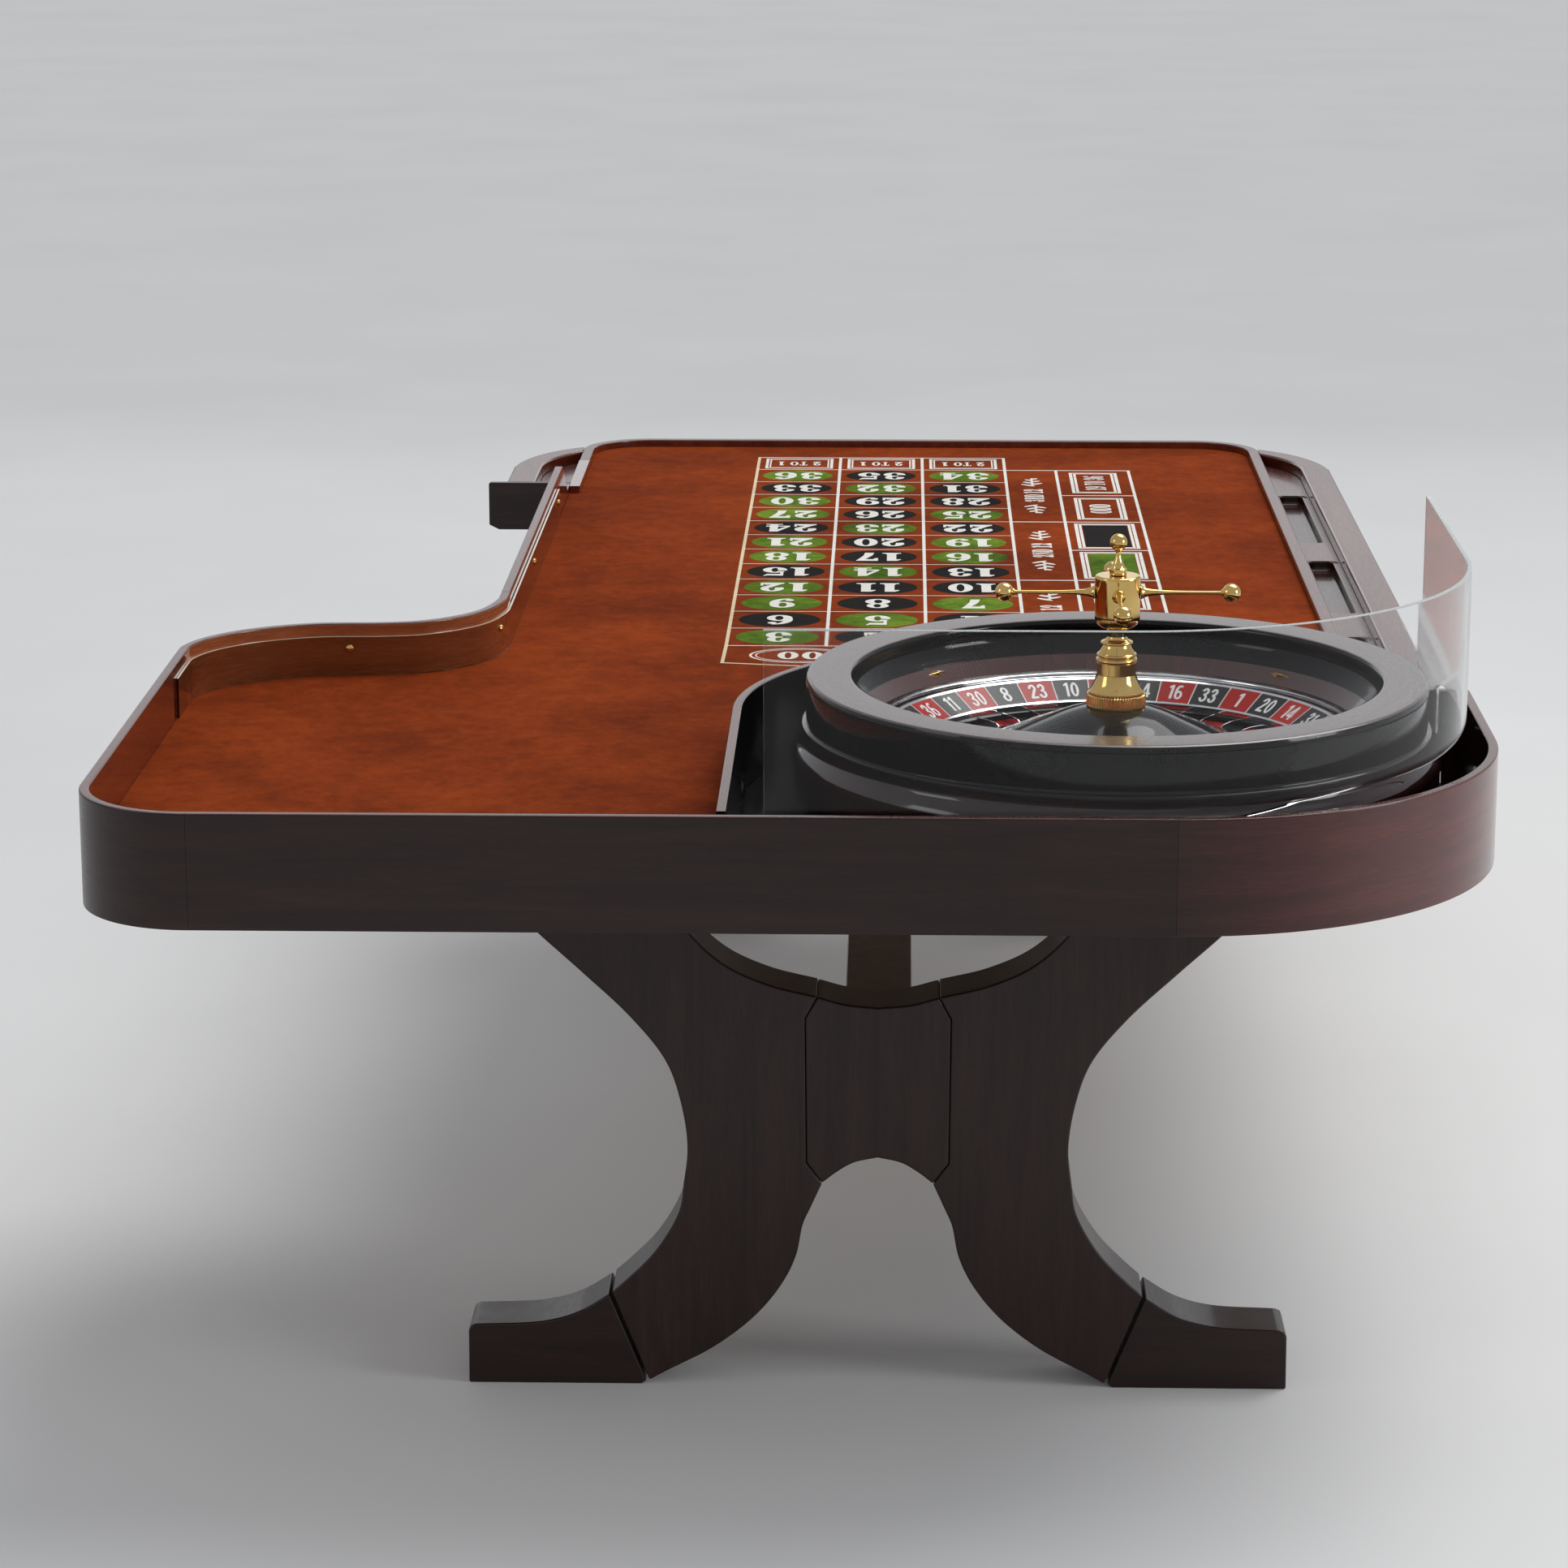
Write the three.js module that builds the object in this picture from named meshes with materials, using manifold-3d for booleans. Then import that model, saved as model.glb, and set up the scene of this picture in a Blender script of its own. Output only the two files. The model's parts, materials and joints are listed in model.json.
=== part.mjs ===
// Roulette table: two timber pedestals, a shaped layout deck with upright apron
// boards, two side trays with arm rails, a turned wheel in its own well behind
// a clear shield, and a spinning rotor with a brass turret.
// Units are millimetres, +Z up. The parts are placed in a "deck frame" whose
// Z = 0 is the face of the cloth; the last group moves the deck frame so that
// the origin is on the floor, under the middle of the whole table.
import * as THREE from 'three';
import { mergeVertices } from 'three/addons/utils/BufferGeometryUtils.js';
import Module from 'manifold-3d';

const wasm = await Module();
wasm.setup();

// ---------------------------------------------------------------- dimensions
const U = 120;                 // pitch of one number row on the layout
const GAP = 0.3;               // clearance between touching pieces

const DECK_HEIGHT = 770;       // cloth face above the floor
const RIM_TOP = 72;            // top of the high apron boards above the cloth
const LOW_TOP = 12;            // top of the low far rails and the arm rails
const APRON_BOTTOM = -68.4;    // lower edge of the apron boards
const APRON_T = 12.6;          // apron board thickness
const WALL_T = 12;             // recess wall and wheel-well wall thickness
const RAIL_T = 18.2;           // inner rail thickness beside the trays
const CLOTH_T = 1.5;
const BOARD_TOP = -1.8;
const BOARD_BOTTOM = -25.8;
const WELL_FLOOR_TOP = -48;
const WELL_FLOOR_BOTTOM = -66;
const BEARING_PLANE = -66.3;   // top of the pedestals, deck frame

const NEAR_Y = -10.53 * U;     // outer face of the near apron
const FAR_Y = 14.058 * U;       // outer face of the far apron
const LEFT_X = -6.05 * U;      // outer face of the left apron
const BULGE_X = 8.217 * U;     // outer face beside the wheel
const RECESS_X = -2.69 * U;    // outer face of the dealer's recess wall
const RAIL_IN_X = 7.1593 * U;  // cloth side of the right inner rail
const RAIL_OUT_X = 7.311 * U;
const MIRROR_X = 2.35844 * U;    // the far end mirrors about this line

const WHEEL_X = 4.32 * U;      // wheel axis
const WHEEL_Y = -6.59 * U;
const BOWL_R = 406;            // widest moulding
const RING_R = 386;            // upright outer ring
const RING_INNER_R = 329;      // lip over the ball track
const BOWL_TOP = 138;
const TRACK_SLOPE_R0 = 304, TRACK_SLOPE_Z0 = 76;
const ROTOR_R = 293;
const NUMBER_R_OUT = 291, NUMBER_Z_OUT = 69;
const NUMBER_R_IN = 252, NUMBER_Z_IN = 45;
const POCKET_FLOOR = 28;
const CONE_R = 204;
const POCKETS = 37;
const DEFLECTOR_R = 314;
const ARM_Z = 242, ARM_REACH = 141;

const SHIELD_T = 6;
const SHIELD_TOP = 290;
const SHIELD_R = 3.675 * U;
const SHIELD_CX = 4.25 * U, SHIELD_CY = -6.73 * U;

const LINER_T = 3;             // clear wall liner
const LINER_TOP = 54.6;
const LINER_END_Y = 7.85 * U;

const TRAY_TOP = -7.9, TRAY_BOTTOM = -33;
const TRAY_OUT_X = 8.1687 * U; // outer face of the right tray board
const ARMREST_IN_X = 7.8078 * U, ARMREST_OUT_X = 8.215 * U;
const ARM_SEAM_Y = 11.6418 * U; // joint between the straight arm rail and its curved end
const STEP_Y = 10.0415 * U;    // where the left rail steps in from the recess wall
const CORNER_START_Y = 12.154 * U;
const FAR_JOINT_X = 6.129 * U;
const WELL_DEPTH = 16;         // depth of the chip wells

const PED_X = 1.862 * U;       // pedestal centre line
const PED_T = 84;              // pedestal thickness
const FRONT_PED_Y = -900;      // front face of the front pedestal
const REAR_PED_Y = 1239;

// ------------------------------------------------------------------- colours
const mat = (hex, roughness, metalness, extra = {}) =>
  new THREE.MeshStandardMaterial({ color: hex, roughness, metalness, ...extra });
const WOOD = mat(0x3a211b, 0.18, 0.0);
const WOOD_RED = mat(0x5a241a, 0.2, 0.0);
const PLY = mat(0xb08a5a, 0.7, 0.0);
const CLOTH = mat(0x9a4318, 0.95, 0.0);
const CLEAR = mat(0xdfe7ea, 0.05, 0.0, { transparent: true, opacity: 0.3 });
const BRASS = mat(0xc9a24a, 0.12, 1.0);
const SILVER = mat(0xc4c4c6, 0.2, 1.0);
const STEEL = mat(0x8a8d90, 0.35, 1.0);
const BLACK = mat(0x0c0c0d, 0.08, 0.0);
const RING = mat(0x8c2a22, 0.25, 0.0);

// ------------------------------------------------------------------- helpers
const root = new THREE.Group();
const deck = new THREE.Group();

function signedVolume(g) {
  const p = g.getAttribute('position'), ix = g.index;
  const n = ix ? ix.count : p.count, v = [];
  const a = new THREE.Vector3(), b = new THREE.Vector3(), c = new THREE.Vector3();
  let s = 0;
  for (let i = 0; i < n; i += 3) {
    const i0 = ix ? ix.getX(i) : i, i1 = ix ? ix.getX(i + 1) : i + 1, i2 = ix ? ix.getX(i + 2) : i + 2;
    a.fromBufferAttribute(p, i0); b.fromBufferAttribute(p, i1); c.fromBufferAttribute(p, i2);
    s += a.dot(b.cross(c));
  }
  return s / 6;
}

// position-only, welded, no slivers of zero area, faces pointing out
function clean(geo) {
  let g = geo.clone();
  g.deleteAttribute('normal'); g.deleteAttribute('uv');
  if (!g.index) { const n = g.getAttribute('position').count; g.setIndex([...Array(n).keys()]); }
  g = mergeVertices(g, 1e-4);
  const idx = g.index.array, keep = [];
  for (let i = 0; i < idx.length; i += 3) {
    const [a, b, c] = [idx[i], idx[i + 1], idx[i + 2]];
    if (a !== b && b !== c && a !== c) keep.push(a, b, c);
  }
  g.setIndex(keep);
  if (signedVolume(g) < 0) {
    const k = g.index.array.slice();
    for (let i = 0; i < k.length; i += 3) { const t = k[i + 1]; k[i + 1] = k[i + 2]; k[i + 2] = t; }
    g.setIndex([...k]);
  }
  return g;
}

function toSolid(geo) {
  const g = clean(geo);
  return new wasm.Manifold(new wasm.Mesh({
    numProp: 3,
    vertProperties: new Float32Array(g.getAttribute('position').array),
    triVerts: new Uint32Array(g.index.array),
  }));
}

function fromSolid(m) {
  const mesh = m.getMesh();
  const g = new THREE.BufferGeometry();
  const pos = new Float32Array(mesh.numVert * 3);
  for (let i = 0; i < mesh.numVert; i++)
    for (let k = 0; k < 3; k++) pos[3 * i + k] = mesh.vertProperties[i * mesh.numProp + k];
  g.setAttribute('position', new THREE.BufferAttribute(pos, 3));
  g.setIndex([...mesh.triVerts]);
  return g;
}

// drops plan points that fall on top of their neighbour
const tidy = (pts) => pts.filter(([x, y], i) => {
  const [a, b] = pts[(i + pts.length - 1) % pts.length];
  return Math.hypot(x - a, y - b) > 0.05;
});
const cut = (a, ...bs) => fromSolid(bs.reduce((m, b) => m.subtract(toSolid(b)), toSolid(a)));
const join = (a, ...bs) => fromSolid(bs.reduce((m, b) => m.add(toSolid(b)), toSolid(a)));

function add(name, geo, material, parent = deck) {
  const g = clean(geo);
  g.computeVertexNormals();
  const m = new THREE.Mesh(g, material);
  m.name = name;
  parent.add(m);
  return m;
}

const shapeOf = (pts) => new THREE.Shape(tidy(pts).map(([x, y]) => new THREE.Vector2(x, y)));

// upright prism over a plan outline
function prism(pts, z0, z1, holes = []) {
  const s = shapeOf(pts);
  for (const h of holes) s.holes.push(new THREE.Path(h.map(([x, y]) => new THREE.Vector2(x, y))));
  const g = new THREE.ExtrudeGeometry(s, { depth: z1 - z0, bevelEnabled: false, steps: 1, curveSegments: 1 });
  g.translate(0, 0, z0);
  return g;
}

// prism over an outline drawn in the X-Z plane, from y0 to y1
function prismXZ(pts, y0, y1) {
  const g = new THREE.ExtrudeGeometry(shapeOf(pts), { depth: y1 - y0, bevelEnabled: false, steps: 1, curveSegments: 1 });
  g.applyMatrix4(new THREE.Matrix4().makeBasis(
    new THREE.Vector3(1, 0, 0), new THREE.Vector3(0, 0, 1), new THREE.Vector3(0, -1, 0)));
  g.translate(0, y1, 0);
  return g;
}

// prism over an outline drawn in the Y-Z plane, from x0 to x1
function prismYZ(pts, x0, x1) {
  const g = new THREE.ExtrudeGeometry(shapeOf(pts), { depth: x1 - x0, bevelEnabled: false, steps: 1, curveSegments: 1 });
  g.applyMatrix4(new THREE.Matrix4().makeBasis(
    new THREE.Vector3(0, 1, 0), new THREE.Vector3(0, 0, 1), new THREE.Vector3(1, 0, 0)));
  g.translate(x0, 0, 0);
  return g;
}

// solid of revolution about the wheel axis; closed profile of [radius, height]
function turned(profile, segments, cx = 0, cy = 0) {
  const pts = profile.map(([r, z]) => new THREE.Vector2(r, z));
  if (profile[0][0] > 1e-9 || profile[profile.length - 1][0] > 1e-9) pts.push(pts[0].clone());
  const g = new THREE.LatheGeometry(pts, segments);
  g.rotateX(Math.PI / 2);
  g.translate(cx, cy, 0);
  return g;
}

const arc = (cx, cy, r, a0, a1, n) => Array.from({ length: n + 1 }, (_, i) => {
  const a = THREE.MathUtils.degToRad(a0 + (a1 - a0) * i / n);
  return [cx + r * Math.cos(a), cy + r * Math.sin(a)];
});

// parallel copy of an open plan path, to its left by d
function offset(path, d) {
  const out = [];
  for (let i = 0; i < path.length; i++) {
    const p = path[i], a = path[Math.max(0, i - 1)], b = path[Math.min(path.length - 1, i + 1)];
    const d1 = i > 0 ? [p[0] - a[0], p[1] - a[1]] : [b[0] - p[0], b[1] - p[1]];
    const d2 = i < path.length - 1 ? [b[0] - p[0], b[1] - p[1]] : d1;
    const l1 = Math.hypot(...d1), l2 = Math.hypot(...d2);
    const n1 = [-d1[1] / l1, d1[0] / l1], n2 = [-d2[1] / l2, d2[0] / l2];
    let n = [n1[0] + n2[0], n1[1] + n2[1]];
    const ln = Math.hypot(...n); n = [n[0] / ln, n[1] / ln];
    const k = d / (n[0] * n1[0] + n[1] * n1[1]);
    out.push([p[0] + n[0] * k, p[1] + n[1] * k]);
  }
  return out;
}
// wall of thickness t standing to the left of an open path
const wall = (path, t, z0, z1) => prism([...path, ...offset(path, t).reverse()], z0, z1);
const mirror = (pts) => pts.map(([x, y]) => [2 * MIRROR_X - x, y]).reverse();
const scaled = (pts) => pts.map(([x, y]) => [x * U, y * U]);

function smooth(pts, n) {
  const c = new THREE.CatmullRomCurve3(pts.map(([x, y]) => new THREE.Vector3(x, y, 0)), false, 'centripetal');
  return c.getSpacedPoints(n).map((v) => [v.x, v.y]);
}

// ------------------------------------------------------------- plan geometry
// Outer faces, walked clockwise seen from above, so that "left of the path"
// is outside and a negative offset goes in under the table.
const CORNER_R = 1.2 * U;
const cornerNL = arc(LEFT_X + CORNER_R, NEAR_Y + CORNER_R, CORNER_R, 270, 180, 8);
const leftRun = [[LEFT_X + CORNER_R + 2, NEAR_Y], ...cornerNL, [LEFT_X, -3.3 * U]];
const sRun = [[LEFT_X, -3.3 * U], ...smooth(scaled([[-6.05, -3.2], [-6.035, -2.9], [-5.86, -2.45], [-5.5, -2.03], [-5.1, -1.77], [-4.7, -1.62],
  [-4.35, -1.575], [-3.93, -1.555], [-3.5, -1.455], [-3.12, -1.18], [-2.87, -0.84], [-2.705, -0.25], [-2.69, 0.1]]), 26), [RECESS_X, 0.2 * U]];
const bulgeR = 3.45 * U;
const bulgeRun = [[BULGE_X - bulgeR - 2, NEAR_Y], ...arc(BULGE_X - bulgeR, NEAR_Y + bulgeR, bulgeR, 270, 360, 18), [BULGE_X, -4.75 * U]];

const farR = 0.99365 * U;
const farRight = [[RAIL_OUT_X, CORNER_START_Y], ...arc(RAIL_OUT_X - farR, FAR_Y - farR, farR, 0, 90, 8), [FAR_JOINT_X, FAR_Y]];
const farLeft = mirror(farRight);                 // walked from the far side to the left rail
// wheel well: well-side face of its wall
const wellWall = [
  [0.393 * U, NEAR_Y + APRON_T + 0.3 + 0.12 * U],
  ...arc(3.79 * U, -5.83 * U, 3.397 * U, 180, 90, 12),
  ...arc(4.3 * U, -6.2 * U, 3.767 * U, 90, 21.0, 10),
];
const wellOuter = offset(wellWall, WALL_T);
const wellClear = offset(wellWall, WALL_T + GAP);

// region taken by the well and its wall, used to trim what meets it
const wellTrim = (z0, z1) => prism([
  [wellClear[0][0], NEAR_Y], ...wellClear, [8.05 * U, wellClear[wellClear.length - 1][1]],
  [8.05 * U, -5 * U], [8.05 * U, NEAR_Y]], z0, z1);

// --------------------------------------------------------------- deck boards
const innerLeft = offset(leftRun, -(APRON_T + GAP));
const innerS = offset(sRun, -(APRON_T + GAP));
const innerFarR = offset(farRight, RAIL_T + GAP);
const innerFarL = offset(farLeft, RAIL_T + GAP);
const deckOutline = [
  [RAIL_IN_X - GAP, NEAR_Y + APRON_T + GAP],
  ...innerFarR, ...innerFarL,
  [2 * MIRROR_X - RAIL_IN_X + GAP, STEP_Y - GAP],
  [RECESS_X + WALL_T + GAP, STEP_Y - GAP],
  ...[...innerS].reverse(),
  ...[...innerLeft].reverse(),
];
const deckCut = prism([[wellClear[0][0], NEAR_Y - 50], ...wellClear, [8.4 * U, -4.9 * U], [8.4 * U, NEAR_Y - 50]], -100, 100);
add('playfield_board', cut(prism(deckOutline, BOARD_BOTTOM, BOARD_TOP), deckCut), PLY);
add('felt_layout', cut(prism(deckOutline, -CLOTH_T, 0), deckCut), CLOTH);

// floor of the wheel well
const bulgeInner = offset(bulgeRun, APRON_T + GAP);
const wellFloorOutline = [
  [wellWall[0][0] + GAP, NEAR_Y + APRON_T + GAP],
  ...bulgeInner.slice(0, -1),
  [bulgeInner[bulgeInner.length - 1][0], -4.98 * U],
  [7.70 * U, -4.98 * U],
  ...offset(wellWall, -GAP).reverse().slice(1, -1),
];
add('wheel_well_floor', prism(wellFloorOutline, WELL_FLOOR_BOTTOM, WELL_FLOOR_TOP), PLY);

// wall round the wheel well
add('wheel_well_wall', wall(wellWall, WALL_T, WELL_FLOOR_BOTTOM, RIM_TOP), WOOD);

// ------------------------------------------------------------- apron boards
const nearRun = [[BULGE_X - bulgeR - 2 - GAP, NEAR_Y], [LEFT_X + CORNER_R + 2 + GAP, NEAR_Y]];
add('near_apron', wall(nearRun, -APRON_T, APRON_BOTTOM, RIM_TOP), WOOD);
add('left_apron', wall([...leftRun.slice(0, -1), [LEFT_X, -3.3 * U - GAP]], -APRON_T, APRON_BOTTOM, RIM_TOP), WOOD);
add('s_curve_apron', wall(sRun, -APRON_T, APRON_BOTTOM, RIM_TOP), WOOD);
// recess wall: full height beside the dealer, its far end slopes down to a rounded tip
const WALL_TIP_Y = 10.265 * U;
add('recess_wall', prismYZ([
  [0.2 * U + GAP, APRON_BOTTOM], [WALL_TIP_Y, APRON_BOTTOM], [WALL_TIP_Y, LOW_TOP], [9.72 * U, LOW_TOP],
  [8.917 * U, 66.8], [8.845 * U, 70.7], [8.752 * U, RIM_TOP], [0.2 * U + GAP, RIM_TOP]], RECESS_X, RECESS_X + WALL_T), WOOD);

const LRI = 2 * MIRROR_X - RAIL_IN_X;            // cloth side of the left rail
const LRO = 2 * MIRROR_X - RAIL_OUT_X;
add('left_inner_rail', prism([
  [RECESS_X + WALL_T + GAP, STEP_Y], [LRI, STEP_Y], [LRI, CORNER_START_Y - GAP], [LRO, CORNER_START_Y - GAP],
  [LRO, WALL_TIP_Y + GAP], [RECESS_X + WALL_T + GAP, WALL_TIP_Y + GAP]], APRON_BOTTOM, LOW_TOP), WOOD);
add('far_right_corner_rail', wall(farRight, RAIL_T, APRON_BOTTOM, LOW_TOP), WOOD);
add('far_left_corner_rail', wall(farLeft, RAIL_T, APRON_BOTTOM, LOW_TOP), WOOD);
add('far_apron', wall([[FAR_JOINT_X - GAP, FAR_Y], [2 * MIRROR_X - FAR_JOINT_X + GAP, FAR_Y]], RAIL_T, APRON_BOTTOM, LOW_TOP), WOOD);
add('right_inner_rail', cut(prism([[RAIL_IN_X, -4 * U], [RAIL_OUT_X, -4 * U], [RAIL_OUT_X, CORNER_START_Y - GAP], [RAIL_IN_X, CORNER_START_Y - GAP]],
  APRON_BOTTOM, LOW_TOP), wellTrim(-100, 100)), WOOD);
// board round the wheel end: a big corner, the straight side and a short return
const bulgeOuter = [[bulgeRun[0][0], NEAR_Y], ...bulgeRun.slice(1)];
const bulgeIn = offset(bulgeRun, APRON_T);
add('wheel_end_apron', prism([...bulgeOuter, [7.935 * U, -4.75 * U], [7.935 * U, -4.75 * U - APRON_T],
  [BULGE_X - APRON_T, -4.75 * U - APRON_T], ...bulgeIn.slice(0, -1).reverse()], APRON_BOTTOM, RIM_TOP), WOOD);

// clear liner on the recess side, from the left apron to the left rail
const linerPath = [
  [LEFT_X + APRON_T + GAP, -3.95 * U], [LEFT_X + APRON_T + GAP, -3.4 * U],
  ...offset(sRun, -(APRON_T + GAP)).slice(1, -1),
  [RECESS_X + APRON_T + GAP, 0.3 * U], [RECESS_X + APRON_T + GAP, LINER_END_Y]];
add('wall_liner', wall(linerPath, -LINER_T, 0.3, LINER_TOP), CLEAR);

// ---------------------------------------------------------------- side trays
const TB_T = 12;                                  // tray board thickness
// outer edge of the far quarter curve of the arm rail and its tray, an ellipse
// that runs in as far as the outer face of the inner rail
const CURVE_CX = 6.5422 * U, CURVE_CY = 11.4221 * U, CURVE_END_X = RAIL_OUT_X + 2 * GAP;
const railCurve = (xOut, b, n) => Array.from({ length: n + 1 }, (_, i) => {
  const a = xOut - CURVE_CX;
  const t = Math.acos((CURVE_END_X - CURVE_CX) / a) * i / n;
  return [CURVE_CX + a * Math.cos(t), CURVE_CY + b * Math.sin(t)];
});
const outerCurve = railCurve(ARMREST_OUT_X, 2.1233 * U, 10);
const boardCurve = railCurve(TRAY_OUT_X, 2.071 * U, 10);
const boardInner = railCurve(TRAY_OUT_X - TB_T, 1.9664 * U, 10);
const trayCurve = railCurve(TRAY_OUT_X - TB_T - GAP, 1.9664 * U - GAP, 10);
const innerCurve = new THREE.QuadraticBezierCurve(new THREE.Vector2(ARMREST_IN_X, ARM_SEAM_Y),
  new THREE.Vector2(ARMREST_IN_X, 12.3635 * U), new THREE.Vector2(CURVE_END_X, 12.9074 * U)).getPoints(6).map((v) => [v.x, v.y]);

// rounded rectangle outline, the near end rounder than the far one
function wellOutline(x0, x1, y0, y1, r) {
  return [
    ...arc(x1 - r, y1 - r, r, 0, 90, 3), ...arc(x0 + r, y1 - r, r, 90, 180, 3),
    ...arc(x0 + r, y0 + r, r, 180, 270, 3), ...arc(x1 - r, y0 + r, r, 270, 360, 3),
  ];
}
const GROOVE_X = 7.8 * U - 5;
const WELL_X0 = 7.4 * U, WELL_X1 = 7.7168 * U;
const wellSpans = [[6.987, 10.397], [2.406, 5.669], [-1.81, 0.942]];

const trayOutline = [
  [RAIL_OUT_X + GAP, -4.73 * U], [TRAY_OUT_X - TB_T - GAP, -4.73 * U],
  ...trayCurve, [RAIL_OUT_X + GAP, trayCurve[trayCurve.length - 1][1] - 0.5]];
const wells = wellSpans.map(([a, b]) => prism(wellOutline(WELL_X0, WELL_X1, a * U, b * U, 9), TRAY_TOP - WELL_DEPTH, TRAY_TOP + 5));
const scoops = wellSpans.map(([a, b]) => prism(wellOutline(RAIL_OUT_X + 4, 7.787 * U, (a - 0.1) * U, b * U, 12), TRAY_TOP - 1.5, TRAY_TOP + 5));
const groove = prism([[GROOVE_X, -4.8 * U], [GROOVE_X + 4.4, -4.8 * U], [GROOVE_X + 4.4, CURVE_CY], [GROOVE_X, CURVE_CY]], TRAY_TOP - 3, TRAY_TOP + 5);
add('right_tray', cut(prism(trayOutline, TRAY_BOTTOM, TRAY_TOP), wellTrim(-100, 100), ...wells, ...scoops), WOOD);
add('right_tray_board', cut(prism([
  [TRAY_OUT_X, -4.73 * U], ...boardCurve, ...[...boardInner].reverse(), [TRAY_OUT_X - TB_T, -4.73 * U]],
  APRON_BOTTOM, TRAY_TOP), wellTrim(-100, 100)), WOOD);
add('right_armrest', cut(prism([
  [ARMREST_IN_X, -4.73 * U], [ARMREST_OUT_X, -4.73 * U], [ARMREST_OUT_X, ARM_SEAM_Y - GAP], [ARMREST_IN_X, ARM_SEAM_Y - GAP]],
  TRAY_TOP + GAP, LOW_TOP), wellTrim(-100, 100)), WOOD);
const armEndFull = [
  [CURVE_CX + (ARMREST_OUT_X - CURVE_CX) * Math.sqrt(1 - ((ARM_SEAM_Y - CURVE_CY) / (2.1233 * U)) ** 2), ARM_SEAM_Y],
  ...outerCurve.filter(([, y]) => y > ARM_SEAM_Y + 2.4), ...[...innerCurve].reverse()];
add('right_armrest_end', prism(armEndFull, TRAY_TOP + GAP, LOW_TOP), WOOD);

// left arm: same sections, mirrored, starting behind the end panel
const LEFT_Y0 = 10.376 * U;
const leftTrayOutline = mirror([
  [RAIL_OUT_X + GAP, LEFT_Y0], [TRAY_OUT_X - TB_T - GAP, LEFT_Y0],
  ...trayCurve, [RAIL_OUT_X + GAP, trayCurve[trayCurve.length - 1][1] - 0.5]]);
add('left_tray', prism(leftTrayOutline, TRAY_BOTTOM, TRAY_TOP), WOOD);
add('left_tray_board', prism(mirror([
  [TRAY_OUT_X, LEFT_Y0], ...boardCurve, ...[...boardInner].reverse(), [TRAY_OUT_X - TB_T, LEFT_Y0]]),
  APRON_BOTTOM, TRAY_TOP), WOOD);
add('left_armrest', prism(mirror([
  [ARMREST_IN_X, LEFT_Y0], [ARMREST_OUT_X, LEFT_Y0], [ARMREST_OUT_X, ARM_SEAM_Y - GAP], [ARMREST_IN_X, ARM_SEAM_Y - GAP]]),
  TRAY_TOP + GAP, LOW_TOP), WOOD);
add('left_armrest_end', prism(mirror(armEndFull), TRAY_TOP + GAP, LOW_TOP), WOOD);
// upright panel that closes the near end of the left arm, lower corner cut off
add('left_end_panel', prismXZ([
  [-3.7447 * U, -60.2], [-3.6087 * U, APRON_BOTTOM], [LRO - GAP, APRON_BOTTOM], [LRO - GAP, LOW_TOP], [-3.72 * U, LOW_TOP], [-3.7447 * U, LOW_TOP - 2.4]],
  LEFT_Y0 - GAP - WALL_T, LEFT_Y0 - GAP), WOOD);

// -------------------------------------------------------------------- shield
const shieldPath = [
  [0.76 * U, SHIELD_CY - SHIELD_R], ...arc(SHIELD_CX, SHIELD_CY, SHIELD_R, 270, 360, 20), [SHIELD_CX + SHIELD_R, -3.15 * U]];
const shieldWall = wall(shieldPath, SHIELD_T, LOW_TOP + GAP, SHIELD_TOP);
const hem = [
  [-10.6, 0], [-10.6, 54], [-10.38, 54], [-10.25, 64], [-10.0, 76], [-9.6, 83], [-9.2, 84], [-8.8, 86], [-8.4, 89], [-8.0, 93],
  [-7.6, 98], [-7.0, 103], [-6.2, 103], [-5.5, 96], [-5.0, 82], [-4.8, 72.3], [-4.715, 72.3], [-4.715, 12.3], [-3.0, 12.3], [-3.0, 0]].map(([y, z]) => [y * U, z]);
const hemStraight = [[-10.7, 0], [-10.7, 54], [-9.6, 54], [-9.6, 0]].map(([y, z]) => [y * U, z]);
add('wheel_shield', cut(shieldWall, prismYZ(hem, 3.6 * U, 8.6 * U), prismYZ(hemStraight, 0.5 * U, 3.605 * U)), CLEAR);

// ----------------------------------------------------------------- pedestals
// right half of the front outline: distance from the centre line, height
const footSole = 0;
const OUT = [[480, 703.7], [476, 668], [458, 632], [430, 602], [373, 549], [310, 488], [267, 432], [249, 381], [240, 319],
  [245, 270], [251, 233], [281, 180], [318, 141]];
const OUT_FOOT = [[340, 121], [380, 97], [424, 84], [514, 79], [520, 73]];
const SOLE = [[521, footSole], [325, footSole]];
const UNDER = [[290, 5], [269, 17], [207, 51], [155, 93], [121, 136], [103, 174], [94, 217], [84, 240]];
const SEAM = [[70, 271.5], [90, 298.5], [91.5, 488.5], [76, 517]];
const UCURVE = [[139, 533], [192, 558], [234, 596.7], [262, 640], [280, 680], [284, 703.7]];
const legOutline = [...OUT, [335, 124], [290, 5], ...UNDER.slice(1), ...SEAM, ...UCURVE];
const footOutline = [[340.6, 121], ...OUT_FOOT.slice(1), ...SOLE.slice(0, 1), [300, footSole], [296, 3.5]];
const blockOutline = [[0, 306], [30, 299], [52, 286], [69.6, 272], [89.6, 298.9], [91.1, 488.1], [75.6, 516.6], [0, 503]];
const Z0 = -DECK_HEIGHT;
const half = (pts, s) => pts.map(([d, h]) => [PED_X + s * d, Z0 + h]);
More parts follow.
